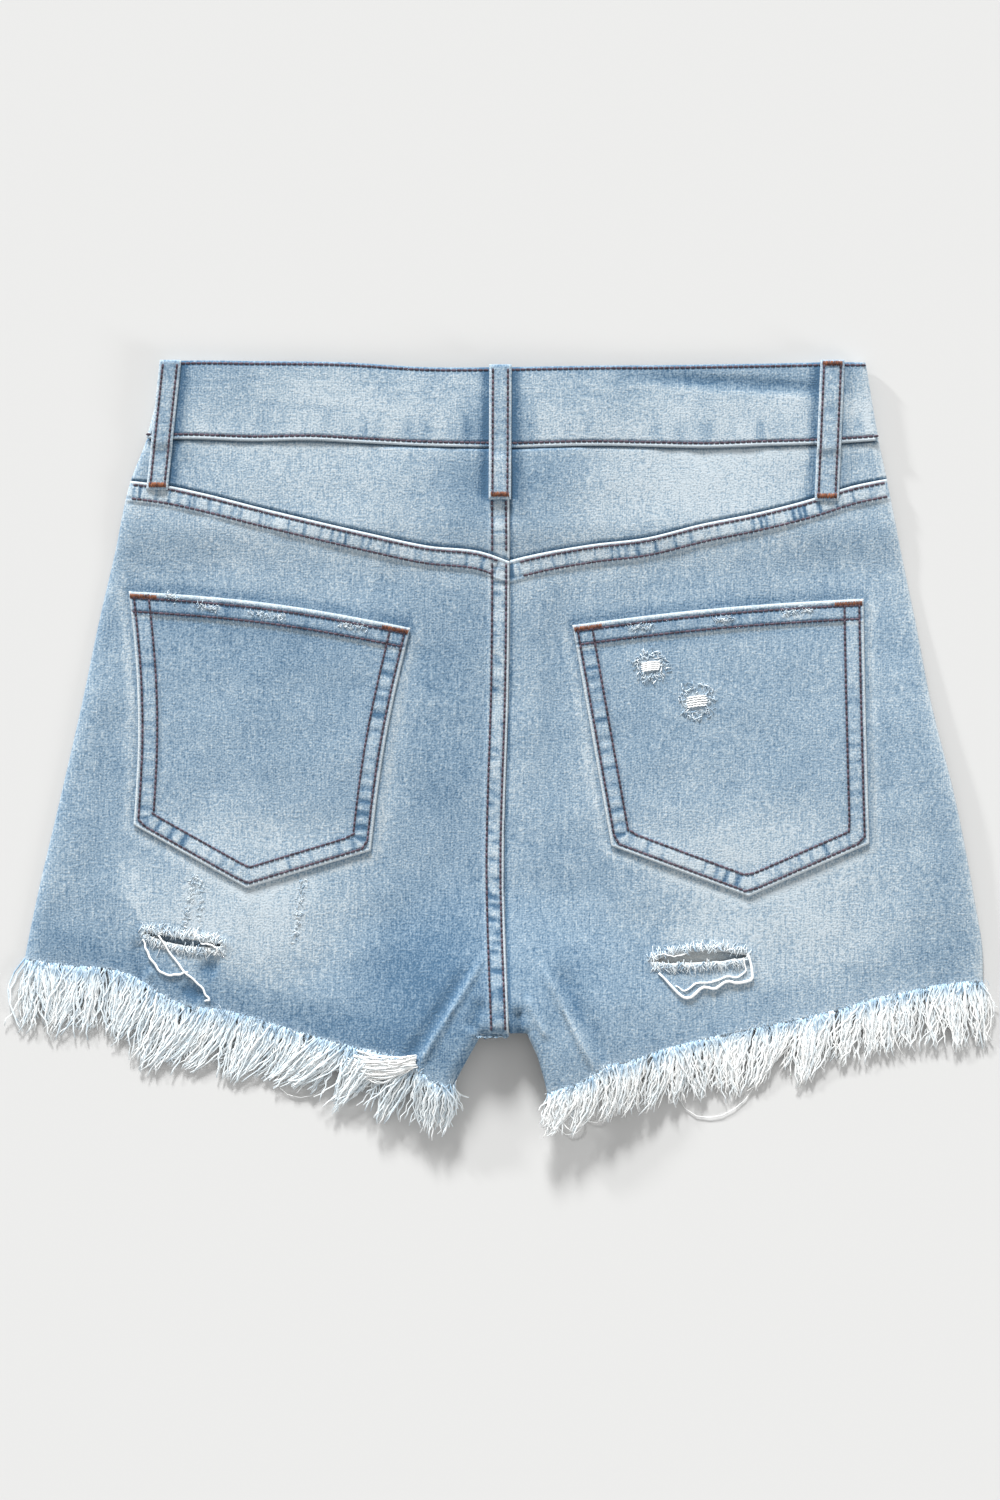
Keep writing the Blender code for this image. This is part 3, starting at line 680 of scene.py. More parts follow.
def yoke_skin(hand):
    """A yoke: its foot tucks under the back's lap and its head under the waistband."""

    def skin(x, y):
        z = body_top(x, y) + softness(x, y)
        z = z - 1.6 * smooth((across(YOKE_SEAM, x) + 1.4 - y) / 1.6)
        z = z - 2.6 * smooth((y - across(BAND_FOOT, x) + 1.2) / 1.6)
        d, s = to_line(centre_run(), x, y)
        z = z + felled(d, s, 22) if hand < 0 else z - 1.5 * smooth((d + 0.9) / 1.6)
        return np.maximum(z, WALL + 0.1)

    return skin


def band_level(x, y):
    """The waistband's back half before its edges and creases, raised where its ends overlap below it."""
    return BAND_LIFT + 2 * BAND_WALL + BAND_GAP + lump(x, y, BAND_HUMP)


def band_skin(x, y):
    """The waistband's back half: rounded edges, stitched rows and an unfaded crease."""
    z = band_level(x, y)
    foot, top = y - across(BAND_FOOT, x), across(BAND_TOP, x) - y
    z = z - 0.7 * (1 - smooth(foot / 0.8 + 0.4)) - 1.1 * (1 - smooth(top / 1.8 + 0.2))
    z = z - 0.4 * near(foot, BAND_ROWS[0], 0.6) - 0.35 * near(top, BAND_ROWS[1], 0.6)
    z = z + 0.16 * waves(x, 0.25 * y, 7.0, 31) * np.exp(-np.maximum(foot, 0) / 9.0)
    crease = blob(x, y, BAND_FADES_AND_SHADE[0]) / BAND_FADES_AND_SHADE[0][-1]
    return z - 0.5 * crease + 0.12 * waves(x, y, 26.0, 32)


def pocket_skin(row):
    """A pocket on its back: rims rolled down, a double hem along the top, twin rows round the rest."""
    distances, seed = pocket_distances(row), pocket_seed(row)

    def skin(x, y):
        d, s, dt, st = distances(x, y)
        z = body_top(x, y) + softness(x, y) + crease_height(x, y) + 0.15 + POCKET_WALL
        z = z - 0.6 * (1 - smooth(d / 0.8 + 0.3)) - 0.6 * (1 - smooth(dt / 1.0 + 0.3))
        z = z + 0.45 * smooth((SEAM_WIDTH + 1.0 - d) / 1.8) * below_hem(dt)
        z = z + 0.75 * smooth((12.1 - dt) / 1.2)
        z = z - 0.34 * sum(near(d, r, 0.55) for r in POCKET_ROWS)
        z = z - 0.34 * sum(near(dt, r, 0.55) for r in POCKET_HEM_ROWS)
        z = z - 0.28 * bars(s, seed) * window(d, 2.6, 9.5) * below_hem(dt)
        return z - 0.16 * bars(st, seed + 1, (4.0, 12.0)) * window(dt, 3.5, 9.9)

    return skin


def on_band(x, y):
    """1 on the waistband, falling to 0 just below its foot."""
    return smooth((y - across(BAND_FOOT, x) + 7.0) / 6.0)


def loop_under(x, y):
    """What a back belt loop lies on: the yoke below, and the waistband above."""
    share = on_band(x, y)
    return body_top(x, y) * (1 - share) + band_level(x, y) * share


# ---- Tone of the cloth, its fading with painted shade and light: 0 is unfaded blue, 1 is washed almost white ---


def back_tone(x, y):
    t = BASE_TONE["back"] + sum(blob(x, y, row) for row in FADES_AND_SHADE) + crease_wear_and_shade(x, y)
    d, _ = to_line(LEG_FOLD, x, y)
    t = t + 0.20 * smooth(d / 2.4 + 0.5) * np.exp(-np.abs(d) / 16.0) * smooth((-50.0 - y) / 14.0)
    for hand in (-1, 1):
        d, s = to_line(yoke_run(hand), x, y)
        d = -d
        mine = hand * (x - SEAM_X) >= 0
        t = t + mine * lap_tone(d, s, 11 + hand)
        # Paler below the lap: a pale line under its lower row, and a wider band of painted light that offsets
        # the shade under the lap.
        t = t + mine * (0.10 * near(d, 11.2, 1.0) + 0.10 * near(d, 15.0, 5.0))
    # The left back's lap at the centre seam, and painted shade where the right back runs under it.
    d, s = to_line(centre_run(), x, y)
    t = t + np.where(x < seam_x(y), lap_tone(d, s, 21), -0.42 * near(d, -0.9, 0.9))
    for row in POCKETS:
        d, _, dt, _ = pocket_distances(row)(x, y)
        # Round a pocket: a dark line just outside its sides, unfaded cloth and painted shade; a paler band
        # further out, painted light that offsets the pocket's shadow; above its top a dark band, unfaded cloth
        # and painted shade.
        t = t - 0.16 * near(d, -0.9, 0.9) + 0.20 * near(d, -3.6, 2.6)
        t = t - 0.30 * near(dt, -1.8, 3.2)
    for row in SLITS:
        away, _ = slit_distance(x, y, row)
        t = t - 0.12 * np.exp(-(((away - 3.0) / 3.0) ** 2)) + 0.3 * near(away, 0.0, 0.8)
    t = t + right_edge_wear_and_light(x, y)
    above = y - across(HEM, x)
    return t + 0.10 * np.exp(-np.maximum(above, 0.0) / 1.2) + scuffs(x, y)


def right_edge_wear_and_light(x, y):
    """The right side's fold is rubbed pale, and painted lighter still: painted light that offsets the shade on
    its roll.
    """
    return 0.42 * smooth((x - 150.0) / 20.0) * np.exp(-edge_distance(x, y) / 3.5)


def lap_tone(d, s, seed):
    """A felled seam: a white folded edge, rubbed pale and partly a painted highlight; dark puckers between the
    rows of stitches; and painted shade in the grooves of the rows.
    """
    puckers = 1.3 * bars(s, seed, (2.2, 10.0), (0.6, 1.0)) * window(d, ROWS[0] + 0.2, ROWS[1] - 0.2)
    rows = 0.32 * (near(d, ROWS[0], 0.9) + near(d, ROWS[1], 0.9))
    return window(d, 0.0, SEAM_WIDTH, 1.0) * (0.26 - puckers) - rows + 0.56 * near(d, 0.5, 1.0)


def scuffs(x, y):
    total = np.zeros(np.shape(x))
    for _, cx, cy, rx, ry, turn, amount in SCUFFS:
        spot = blob(x, y, ("", cx, cy, rx, ry, turn, 1.0))
        total = total + amount * spot * (0.35 + 0.9 * waves(x * 1.6, y, 1.5, int(abs(cx)) + 7))
    return total


def loop_unfaded_and_shade(x, y):
    """The darker cloth beside each belt loop, deepest on its sheltered side: unfaded cloth and painted shade.
    """
    total = np.zeros(np.shape(x))
    for name, x_top, x_foot, y_top, y_foot, width in LOOPS:
        d = x - x_foot - (x_top - x_foot) * (y - y_foot) / (y_top - y_foot)
        left, right = HALO_SIDES[name]
        shade = left * near(-d, width / 2 + 1.0, 3.2) + right * near(d, width / 2 + 1.0, 3.0)
        total = total - shade * smooth((y - y_foot + 2.0) / 5.0)
    return total


def yoke_tone(x, y):
    t = BASE_TONE["yoke"] + sum(blob(x, y, row) for row in FADES_AND_SHADE) + loop_unfaded_and_shade(x, y) + right_edge_wear_and_light(x, y)
    # Painted shade in a thin line along the yoke seam, where the yoke runs under the back's lap.
    for hand in (-1, 1):
        d, _ = to_line(yoke_run(hand), x, y)
        t = t - 0.62 * near(d, 0.5, 0.9)
    # Painted shade just under the waistband's foot, and a little below it a paler band, painted light that
    # offsets the band's shadow.
    foot = across(BAND_FOOT, x) - y
    t = t - 0.40 * near(foot, 0.3, 0.9) + 0.12 * near(foot, 3.5, 3.0)
    # The left yoke's lap at the centre seam, and painted shade where the right yoke runs under it.
    d, s = to_line(centre_run(), x, y)
    return t + np.where(x < seam_x(y), lap_tone(d, s, 22), -0.35 * near(d, -0.9, 0.9))


def band_tone(x, y):
    t = BASE_TONE["band"] + sum(blob(x, y, row) for row in BAND_FADES_AND_SHADE) + right_edge_wear_and_light(x, y)
    foot, top = y - across(BAND_FOOT, x), across(BAND_TOP, x) - y
    # A white foot edge, rubbed pale and partly a painted highlight; painted shade along the foot's row of
    # stitches and along the top edge.
    t = t + 0.60 * near(foot, 0.5, 0.8) - 0.40 * near(foot, 2.4, 0.9) - 0.45 * near(top, 1.0, 1.8)
    blotch = bars(x, 34, (7.0, 15.0), (2.0, 4.0)) * np.exp(-(((foot - 8.0) / 6.5) ** 2))
    streaks = smooth(0.4 * waves(0.25 * x, y, 2.4, 36) + 0.2) * window(top, 6.0, 18.0, 6.0)
    t = t - 0.26 * np.exp(-np.maximum(top, 0.0) / 10.0)
    return t - 0.42 * blotch - 0.20 * streaks + 0.06 * waves(x, y, 14.0, 35) + loop_unfaded_and_shade(x, y)


def pocket_tone(row):
    distances, seed = pocket_distances(row), pocket_seed(row)

    def tone(x, y):
        d, s, dt, st = distances(x, y)
        below = below_hem(dt)
        puckers = 1.05 * bars(s, seed, (5.0, 9.0), (0.9, 1.8)) * window(d, 3, 9.2)
        t = BASE_TONE["pocket"] + sum(blob(x, y, fade) for fade in POCKET_FADES) + scuffs(x, y)
        t = t + window(d, 0.0, SEAM_WIDTH, 1.0) * below * (0.14 - puckers)
        t = t + 0.40 * near(d, 0.4, 0.7) + 0.34 * near(dt, 1.0, 1.1)
        # Painted shade along the rows of stitches, then a pale band at the hem's folded foot and painted shade
        # below it.
        t = t - 0.40 * (near(d, POCKET_ROWS[0], 0.9) + near(d, POCKET_ROWS[1], 0.9) * below)
        t = t - 0.45 * sum(near(dt, r, 1.0) for r in POCKET_HEM_ROWS)
        t = t + 0.26 * near(dt, 12.2, 1.1) - 0.12 * near(dt, 14.8, 1.6)
        hem_puckers = 0.08 + 0.30 * bars(st, seed + 1, (4.0, 12.0), (1.0, 2.6))
        return t + 0.10 * near(dt, 7.0, 2.4) - window(dt, 2.6, 10.9, 1.0) * hem_puckers

    return tone


# ---- Meshes ------------------------------------------------------------------------------------------------


def steps(*stretches):
    """Stations from stretches of (end, step), each divided into even steps of about that size."""
    found, start = [0.0], 0.0
    for end, step in stretches:
        count = max(1, round((end - start) / step))
        found += list(start + (end - start) * (np.arange(count) + 1) / count)
        start = end
    return np.array(found)


def build_mesh(name, points, faces):
    """A mesh from points in table millimetres and arrays of faces, one array for each number of corners."""
    mesh = bpy.data.meshes.new(name)
    points = np.asarray(points, float).reshape(-1, 3).copy()
    points[:, 0] -= MIDDLE[0]
    points[:, 1] -= MIDDLE[1]
    corners = np.concatenate([np.asarray(f).ravel() for f in faces]).astype(np.int32)
    counts = np.concatenate([np.full(len(f), np.shape(f)[1]) for f in faces])
    mesh.vertices.add(len(points))
    mesh.vertices.foreach_set("co", (points * MM).astype(np.float32).ravel())
    mesh.loops.add(len(corners))
    mesh.loops.foreach_set("vertex_index", corners)
    mesh.polygons.add(len(counts))
    mesh.polygons.foreach_set("loop_start", (np.cumsum(counts) - counts).astype(np.int32))
    mesh.update(calc_edges=True)
    return mesh


def add_piece(name, mesh, material, slot, replaced=(), **attributes):
    """The mesh as a named, smooth piece that rides with the shorts."""
    for label, values in attributes.items():
        layer = mesh.attributes.new(label, "FLOAT", "POINT")
        layer.data.foreach_set("value", np.asarray(values, np.float32).ravel())
    mesh.materials.append(material)
    mesh.shade_smooth()
    obj = bpy.data.objects.new(name, mesh)
    bpy.context.scene.collection.objects.link(obj)
    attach(obj, "root")
    if replaced:
        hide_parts(*replaced)
    return obj


def apply_wall(obj, wall):
    """The sheet made solid on its inner side, with the modifier applied."""
    solid = obj.modifiers.new("Wall", "SOLIDIFY")
    solid.thickness = wall * MM
    solid.offset = -1.0
    solid.use_quality_normals = True
    with bpy.context.temp_override(object=obj, active_object=obj, selected_objects=[obj]):
        bpy.ops.object.modifier_apply(modifier=solid.name)


def grid_faces(rows, columns, keep=None):
    """Faces of a grid whose corners run row by row, facing up where u runs right and v runs up."""
    i, j = np.meshgrid(np.arange(rows - 1), np.arange(columns - 1), indexing="ij")
    first = (i * columns + j).ravel()
    faces = np.stack([first, first + 1, first + columns + 1, first + columns], 1)
    return faces if keep is None else faces[keep.ravel()]


def cloth(name, us, vs, plan, skin, tone, material, slot, wall, facing=1, worn=None, slit=None):
    """A wall of cloth: plan(u, v) gives x and y, and skin and tone read them."""
    v, u = np.meshgrid(vs, us, indexing="ij")
    spots = plan(u, v)
    x, y = spots[..., 0], spots[..., 1]
    keep = None
    if slit is not None:
        keep, y = open_slit(slit, x, y)
    z = skin(x, y)
    faces = grid_faces(len(vs), len(us), keep)
    right = (x[0, -1] - x[0, 0]) * (y[-1, 0] - y[0, 0]) > 0
    if right != (facing > 0):
        faces = faces[:, ::-1]
    mesh = build_mesh(name, np.stack([x, y, z], -1), [faces])
    wear = np.zeros(x.shape) if worn is None else worn(x, y)
    obj = add_piece(name, mesh, material, slot, (name,), tone=tone(x, y), worn=wear)
    apply_wall(obj, wall)
    obj.data.shade_smooth()
    return obj


def open_slit(row, x, y):
    """Which cells stay round the slit, and y with the corners along its lips moved onto its outline."""
    middle_x = (x[:-1, :-1] + x[1:, 1:]) / 2
    middle_y = (y[:-1, :-1] + y[1:, 1:]) / 2
    hole = slit_distance(middle_x, middle_y, row)[0] <= 0.0
    touched, kept = np.zeros(x.shape, bool), np.zeros(x.shape, bool)
    for i in (0, 1):
        for j in (0, 1):
            corner = (slice(i, x.shape[0] - 1 + i), slice(j, x.shape[1] - 1 + j))
            touched[corner] |= hole
            kept[corner] |= ~hole
    away, above = slit_distance(x, y, row)
    up = np.sign(above)
    moved = y + np.where(away > 0, -up * away, up * slit_inside(x, above, row))
    on_lip = touched & kept & (np.abs(moved - y) < 1.6) & (np.abs(above) - away < 9.0)
    return ~hole, np.where(on_lip, moved, y)


def slit_inside(x, above, row):
    """How far a point inside the opening lies from its nearer lip."""
    _, _, start, end, opening, _ = row
    t = np.clip((x - start[0]) / (end[0] - start[0]), 0.0, 1.0)
    half = 0.15 + opening / 2 * np.sin(math.pi * t) ** 0.7
    return np.maximum(0.0, half - np.abs(above))


def tubes(paths, radii, sides=3, flat=1.0):
    """Points and faces of many thin threads: paths is (threads, rings, 3) and radii (threads, rings).

    A flat share below 1 presses the threads down, as loosely spun yarn lies.
    """
    paths, radii = np.asarray(paths, float), np.asarray(radii, float)
    count, rings, _ = paths.shape
    along = np.gradient(paths, axis=1)
    along /= np.maximum(1e-9, np.linalg.norm(along, axis=2))[..., None]
    beside = np.cross(along, (0.0, 0.0, 1.0))
    beside /= np.maximum(1e-6, np.linalg.norm(beside, axis=2))[..., None]
    over = np.cross(beside, along)
    turn = 2 * math.pi * (np.arange(sides) + 0.5) / sides
    ring = beside[:, :, None] * np.cos(turn)[:, None] + over[:, :, None] * flat * np.sin(turn)[:, None]
    points = paths[:, :, None] + ring * radii[..., None, None]
    n, i, k = np.meshgrid(np.arange(count), np.arange(rings - 1), np.arange(sides), indexing="ij")
    first, after = (n * rings + i) * sides + k, (n * rings + i) * sides + (k + 1) % sides
    walls = np.stack([first, first + sides, after + sides, after], -1).reshape(-1, 4)
    start = (np.arange(count) * rings * sides)[:, None] + np.arange(sides)
    finish = start[:, ::-1] + (rings - 1) * sides
    return points.reshape(-1, 3), [walls, np.vstack([start, finish])]


def thread_piece(name, paths, radii, shades, material, slot, replaced=(), sides=3, flat=1.0):
    """Many threads as one joined piece, each ring with its own shade from blue, 0, to white, 1."""
    points, faces = tubes(paths, radii, sides, flat)
    mesh = build_mesh(name, points, faces)
    shade = np.repeat(np.asarray(shades, float).reshape(-1), sides)
    return add_piece(name, mesh, material, slot, replaced, tone=shade)


# ---- Materials ---------------------------------------------------------------------------------------------


def srgb(code):
    """An sRGB hex colour as linear red, green, blue and alpha."""
    parts = [int(code[i:i + 2], 16) / 255 for i in (1, 3, 5)]
    parts = [p / 12.92 if p <= 0.04045 else ((p + 0.055) / 1.055) ** 2.4 for p in parts]
    return (*parts, 1.0)


def add_node(tree, kind, values=(), links=(), **settings):
    """A node with its settings, its inputs' values, and links into its inputs."""
    made = tree.nodes.new(kind)
    for label, value in settings.items():
        setattr(made, label, value)
    for key, value in dict(values).items():
        made.inputs[key].default_value = value
    for key, source in dict(links).items():
        tree.links.new(source, made.inputs[key])
    return made


def noise(tree, place, scale, detail):
    """A noise's value at those coordinates, from 0 to 1."""
    values = {"Scale": scale, "Detail": detail}
    return add_node(tree, "ShaderNodeTexNoise", values, {"Vector": place.outputs[0]}).outputs["Fac"]


def centred(tree, value):
    """The value less a half."""
    return add_node(tree, "ShaderNodeMath", {1: 0.5}, {0: value}, operation="SUBTRACT").outputs[0]


def added(tree, value, strength, base):
    """The base plus the value times its strength."""
    links = {0: value, 2: base}
    return add_node(tree, "ShaderNodeMath", {1: strength}, links, operation="MULTIPLY_ADD").outputs[0]


def stretched(tree, value, low, high):
    """The value's range from low to high stretched to run from 0 to 1."""
    return add_node(tree, "ShaderNodeMapRange", {1: low, 2: high}, {0: value}).outputs[0]


def mixed(tree, share, dark, light):
    """A colour between two hex colours by a linked share."""
    values = {6: srgb(dark), 7: srgb(light)}
    return add_node(tree, "ShaderNodeMix", values, {0: share}, data_type="RGBA").outputs[2]


def ramp(tree, value, table):
    """A colour from a table of positions and hex colours."""
    made = add_node(tree, "ShaderNodeValToRGB", links={0: value})
    stops = made.color_ramp.elements
    while len(stops) < len(table):
        stops.new(0.5)
    for stop, (position, code) in zip(stops, table):
        stop.position = position
        stop.color = srgb(code)
    return made.outputs["Color"]


def new_material(name, **constants):
    """A material with its shader's constants set straight on the shader's own sockets."""
    made = bpy.data.materials.new(name)
    made.use_nodes = True
    shader = made.node_tree.nodes["Principled BSDF"]
    for label, value in constants.items():
        shader.inputs[label.replace("_", " ")].default_value = value
    return made, made.node_tree, shader


def millimetres(tree, turn=0.0, stretch=(1.0, 1.0, 1.0)):
    """Object coordinates in millimetres, turned about Z and stretched."""
    place = add_node(tree, "ShaderNodeTexCoord")
    scale = tuple(1000.0 / s for s in stretch)
    values = {"Scale": scale, "Rotation": (0.0, 0.0, turn)}
    return add_node(tree, "ShaderNodeMapping", values, {"Vector": place.outputs["Object"]})


DENIM_RAMP = (
    (0.0, "#446480"),
    (0.2, "#5e7991"),
    (0.4, "#758da1"),
    (0.6, "#899eaf"),
    (0.8, "#a1b1bc"),
    (1.0, "#bac5cc"),
)
COTTON_RAMP = (
    (0.0, "#8eaac0"),
    (0.5, "#e2ecf1"),
    (1.0, "#fdfdfb"),
)


def denim_material(name, warp_turn):
    """Washed 3/1 right-hand twill: blue warp worn down to white weft, dull, with a faint nap.

    The twill's lines are 0.5 mm apart on the real cloth, and are drawn 1.2 mm apart so that they show.
    """
    made, tree, shader = new_material(
        name, Roughness=0.9, Sheen_Weight=0.12, Sheen_Roughness=0.6, Specular_IOR_Level=0.15
    )
    flat = millimetres(tree)
    warp = millimetres(tree, warp_turn, (0.55, 7.0, 7.0))
    weft = millimetres(tree, warp_turn, (3.0, 0.6, 3.0))
    tone = add_node(tree, "ShaderNodeAttribute", attribute_name="tone")
    worn = add_node(tree, "ShaderNodeAttribute", attribute_name="worn")
    layers = (
        # coordinates, scale per mm, detail, strength
        (flat, 1 / 30.0, 2.0, 0.30),
        (flat, 1 / 7.0, 3.0, 0.20),
        (flat, 1 / 1.05, 1.0, 1.15),
        (warp, 1.0, 1.0, 0.75),
        (weft, 1.0, 1.0, 0.45),
    )
    total = tone.outputs["Fac"]
    for place, scale, detail, strength in layers:
        total = added(tree, centred(tree, noise(tree, place, scale, detail)), strength, total)
    twill = add_node(
        tree,
        "ShaderNodeTexWave",
        {"Scale": 0.26, "Distortion": 1.2, "Detail": 1.0, "Detail Scale": 1.5},
        {"Vector": millimetres(tree, math.radians(32)).outputs[0]},
        wave_type="BANDS",
        bands_direction="X",
    )
    ribbed = added(tree, twill.outputs["Fac"], 0.07, total)
    bare = noise(tree, millimetres(tree, 0.0, (5.0, 0.9, 5.0)), 1.0, 2.0)
    colours = {6: ramp(tree, ribbed, DENIM_RAMP), 7: mixed(tree, bare, "#b0bbc3", "#d3d4d0")}
    rubbed = add_node(
        tree, "ShaderNodeMix", links={0: worn.outputs["Fac"], **colours}, data_type="RGBA"
    )
    bump = add_node(tree, "ShaderNodeBump", {"Strength": 0.8, "Distance": 0.00025}, {"Height": ribbed})
    tree.links.new(rubbed.outputs[2], shader.inputs["Base Color"])
    tree.links.new(bump.outputs[0], shader.inputs["Normal"])
    return made


def thread_material(name, dark, light):
    """Spun thread: two close shades along its length, dull."""
    made, tree, shader = new_material(name, Roughness=0.75, Specular_IOR_Level=0.2, Sheen_Weight=0.15)
    wide = stretched(tree, noise(tree, millimetres(tree), 0.45, 2.0), 0.35, 0.65)
    tree.links.new(mixed(tree, wide, dark, light), shader.inputs["Base Color"])
    return made


def cotton_material(name):
    """Frayed cotton yarn: undyed white weft, and pale blue where dyed warp still clings at the roots."""
    made, tree, shader = new_material(
        name, Roughness=0.95, Specular_IOR_Level=0.1, Sheen_Weight=0.3, Sheen_Roughness=0.5
    )
    tone = add_node(tree, "ShaderNodeAttribute", attribute_name="tone")
    patchy = centred(tree, noise(tree, millimetres(tree), 0.3, 2.0))
    total = added(tree, patchy, 0.5, tone.outputs["Fac"])
    tree.links.new(ramp(tree, total, COTTON_RAMP), shader.inputs["Base Color"])
    return made


def metal_material(name, dark, light, roughness):
    """Aged plated brass: a warm metal, duller in its low places."""
    made, tree, shader = new_material(name, Metallic=1.0)
    tarnish = noise(tree, millimetres(tree), 0.6, 4.0)
    rough = add_node(tree, "ShaderNodeMapRange", {3: roughness - 0.08, 4: roughness + 0.15}, {0: tarnish})
    tree.links.new(mixed(tree, tarnish, dark, light), shader.inputs["Base Color"])
    tree.links.new(rough.outputs[0], shader.inputs["Roughness"])
    return made


MATERIALS = {}


def material_for(name):
    """Each material is made once, the first time that a piece asks for it."""
    makers = {
        "washed denim twill": lambda: denim_material("washed denim twill", 0.0),
        "washed denim twill, warp across": lambda: denim_material("washed denim, warp across", math.pi / 2),
        "plum polyester topstitching": lambda: thread_material("plum topstitching", "#342b35", "#5c4e5a"),
        "rust polyester bartack": lambda: thread_material("rust bartack", "#4a302c", "#8b573b"),
        "frayed cotton": lambda: cotton_material("frayed cotton"),
        "aged brass": lambda: metal_material("aged brass", "#8a6a3c", "#b8935a", 0.4),
    }
    if name not in MATERIALS:
        MATERIALS[name] = makers[name]()
    return MATERIALS[name]


# ---- Pieces ------------------------------------------------------------------------------------------------


def make_back(hand):
    """A back's plan, finished and walled, with its worn slit open."""
    overlap = 0.0 if hand < 0 else -TUCK
    edges = leg_edges(hand, lambda x: across(HEM, x), lambda x: across(YOKE_SEAM, x))

    def plan(u, v):
        spots = patch(edges, u, v)
        shift = overlap * (1 - u) ** 8 * smooth((spots[..., 1] - CROTCH_Y - 3.0) / 8.0)
        spots[..., 0] += shift
        return spots

    name = "back_panel_left" if hand < 0 else "back_panel_right"
    wide = 232.0
    us = steps((12, 0.75), (wide - 8, 1.15), (wide, 0.8)) / wide
    tall = 245.0
    slit_at = (tall * 0.045, tall * 0.16)
    vs = steps((3, 0.8), (slit_at[0], 1.2), (slit_at[1], 0.85), (tall - 12, 2.0), (tall, 0.75)) / tall
    row = SLITS[0] if hand < 0 else SLITS[1]
    return cloth(
        name, us, vs, plan, back_skin(hand), back_tone, material_for("washed denim twill"), "denim", WALL,
        slit=row, worn=back_worn,
    )


def back_worn(x, y):
    """Where the blue is rubbed right off: the lips of the slits and the very edge of the hem."""
    total = 0.25 * np.exp(-np.maximum(0.0, y - across(HEM, x)) / 0.8)
    for row in SLITS:
        away, _ = slit_distance(x, y, row)
        total = total + 0.9 * np.exp(-((away / 1.1) ** 2))
    return np.clip(total, 0.0, 1.0)


def make_yoke(hand):
    """A yoke: its foot runs under its back and its head under the waistband."""

    def plan(u, v):
        def height(x):
            foot = across(YOKE_SEAM, x) - TUCK
            head = across(BAND_FOOT, x) + HEAD_TUCK
            return foot + (head - foot) * v

        y = height(SEAM_X + hand * 190.0 * u)
        start = seam_x(y) - (0.1 if hand < 0 else TUCK)
        x = start + (side_x(y, hand) - start) * u
        return np.stack([x, height(x)], -1)

    name = "yoke_left" if hand < 0 else "yoke_right"
    us = steps((12, 0.75), (180, 1.3), (190, 0.8)) / 190.0
    vs = steps((60, 1.1)) / 60.0
    return cloth(
        name, us, vs, plan, yoke_skin(hand), yoke_tone, material_for("washed denim twill"), "denim", WALL
    )


def front_line(table, x):
    """A waistband edge on the front half: the back's line, dipping towards the centre front."""
    left, right = (abs(float(side_x(BAND_FOOT_Y, hand)) - SEAM_X) for hand in (-1, 1))
    edge = np.where(x < SEAM_X, left, right)
    return across(table, x) - FRONT_DIP * smooth(1.0 - np.abs(x - SEAM_X) / edge)


def make_front(hand):
    """A plain front, face down on the floor, a little narrower and shorter than the back over it."""
    edges = leg_edges(
        hand, lambda x: across(HEM, x) + FRONT_SHORTER, lambda x: front_line(BAND_FOOT, x) + 1.5, FRONT_INSET
    )

    def skin(x, y):
        d, _ = to_line([(SEAM_X, -143.0), (SEAM_X, 150.0)], x, y)
        ripple = np.maximum(0.03, 0.12 * (1 + waves(x, y, 30.0, 61)))
        return lift(x, y) + ripple + 0.5 * near(d, 0.0, 1.4)

    def tone(x, y):
        t = BASE_TONE["front"] + 0.12 * waves(x, y, 70.0, 62) + 0.2 * np.exp(-edge_distance(x, y) / 6.0)
        return t + 0.2 * blob(x, y, ("thigh", hand * 120.0, -30.0, 55.0, 70.0, 0.0, 1.0))

    def worn(x, y):
        """The paler inner face, where it shows through the right slit."""
        return np.exp(-((slit_distance(x, y, SLITS[1])[0] / 6.0) ** 2)) * smooth((122.0 - x) / 20.0)

    name = "front_panel_left" if hand < 0 else "front_panel_right"
    us, vs = steps((230, 4.0)) / 230.0, steps((300, 4.0)) / 300.0
    return cloth(
        name, us, vs, lambda u, v: patch(edges, u, v), skin, tone,
        material_for("washed denim twill"), "denim", WALL, facing=-1, worn=worn,
    )


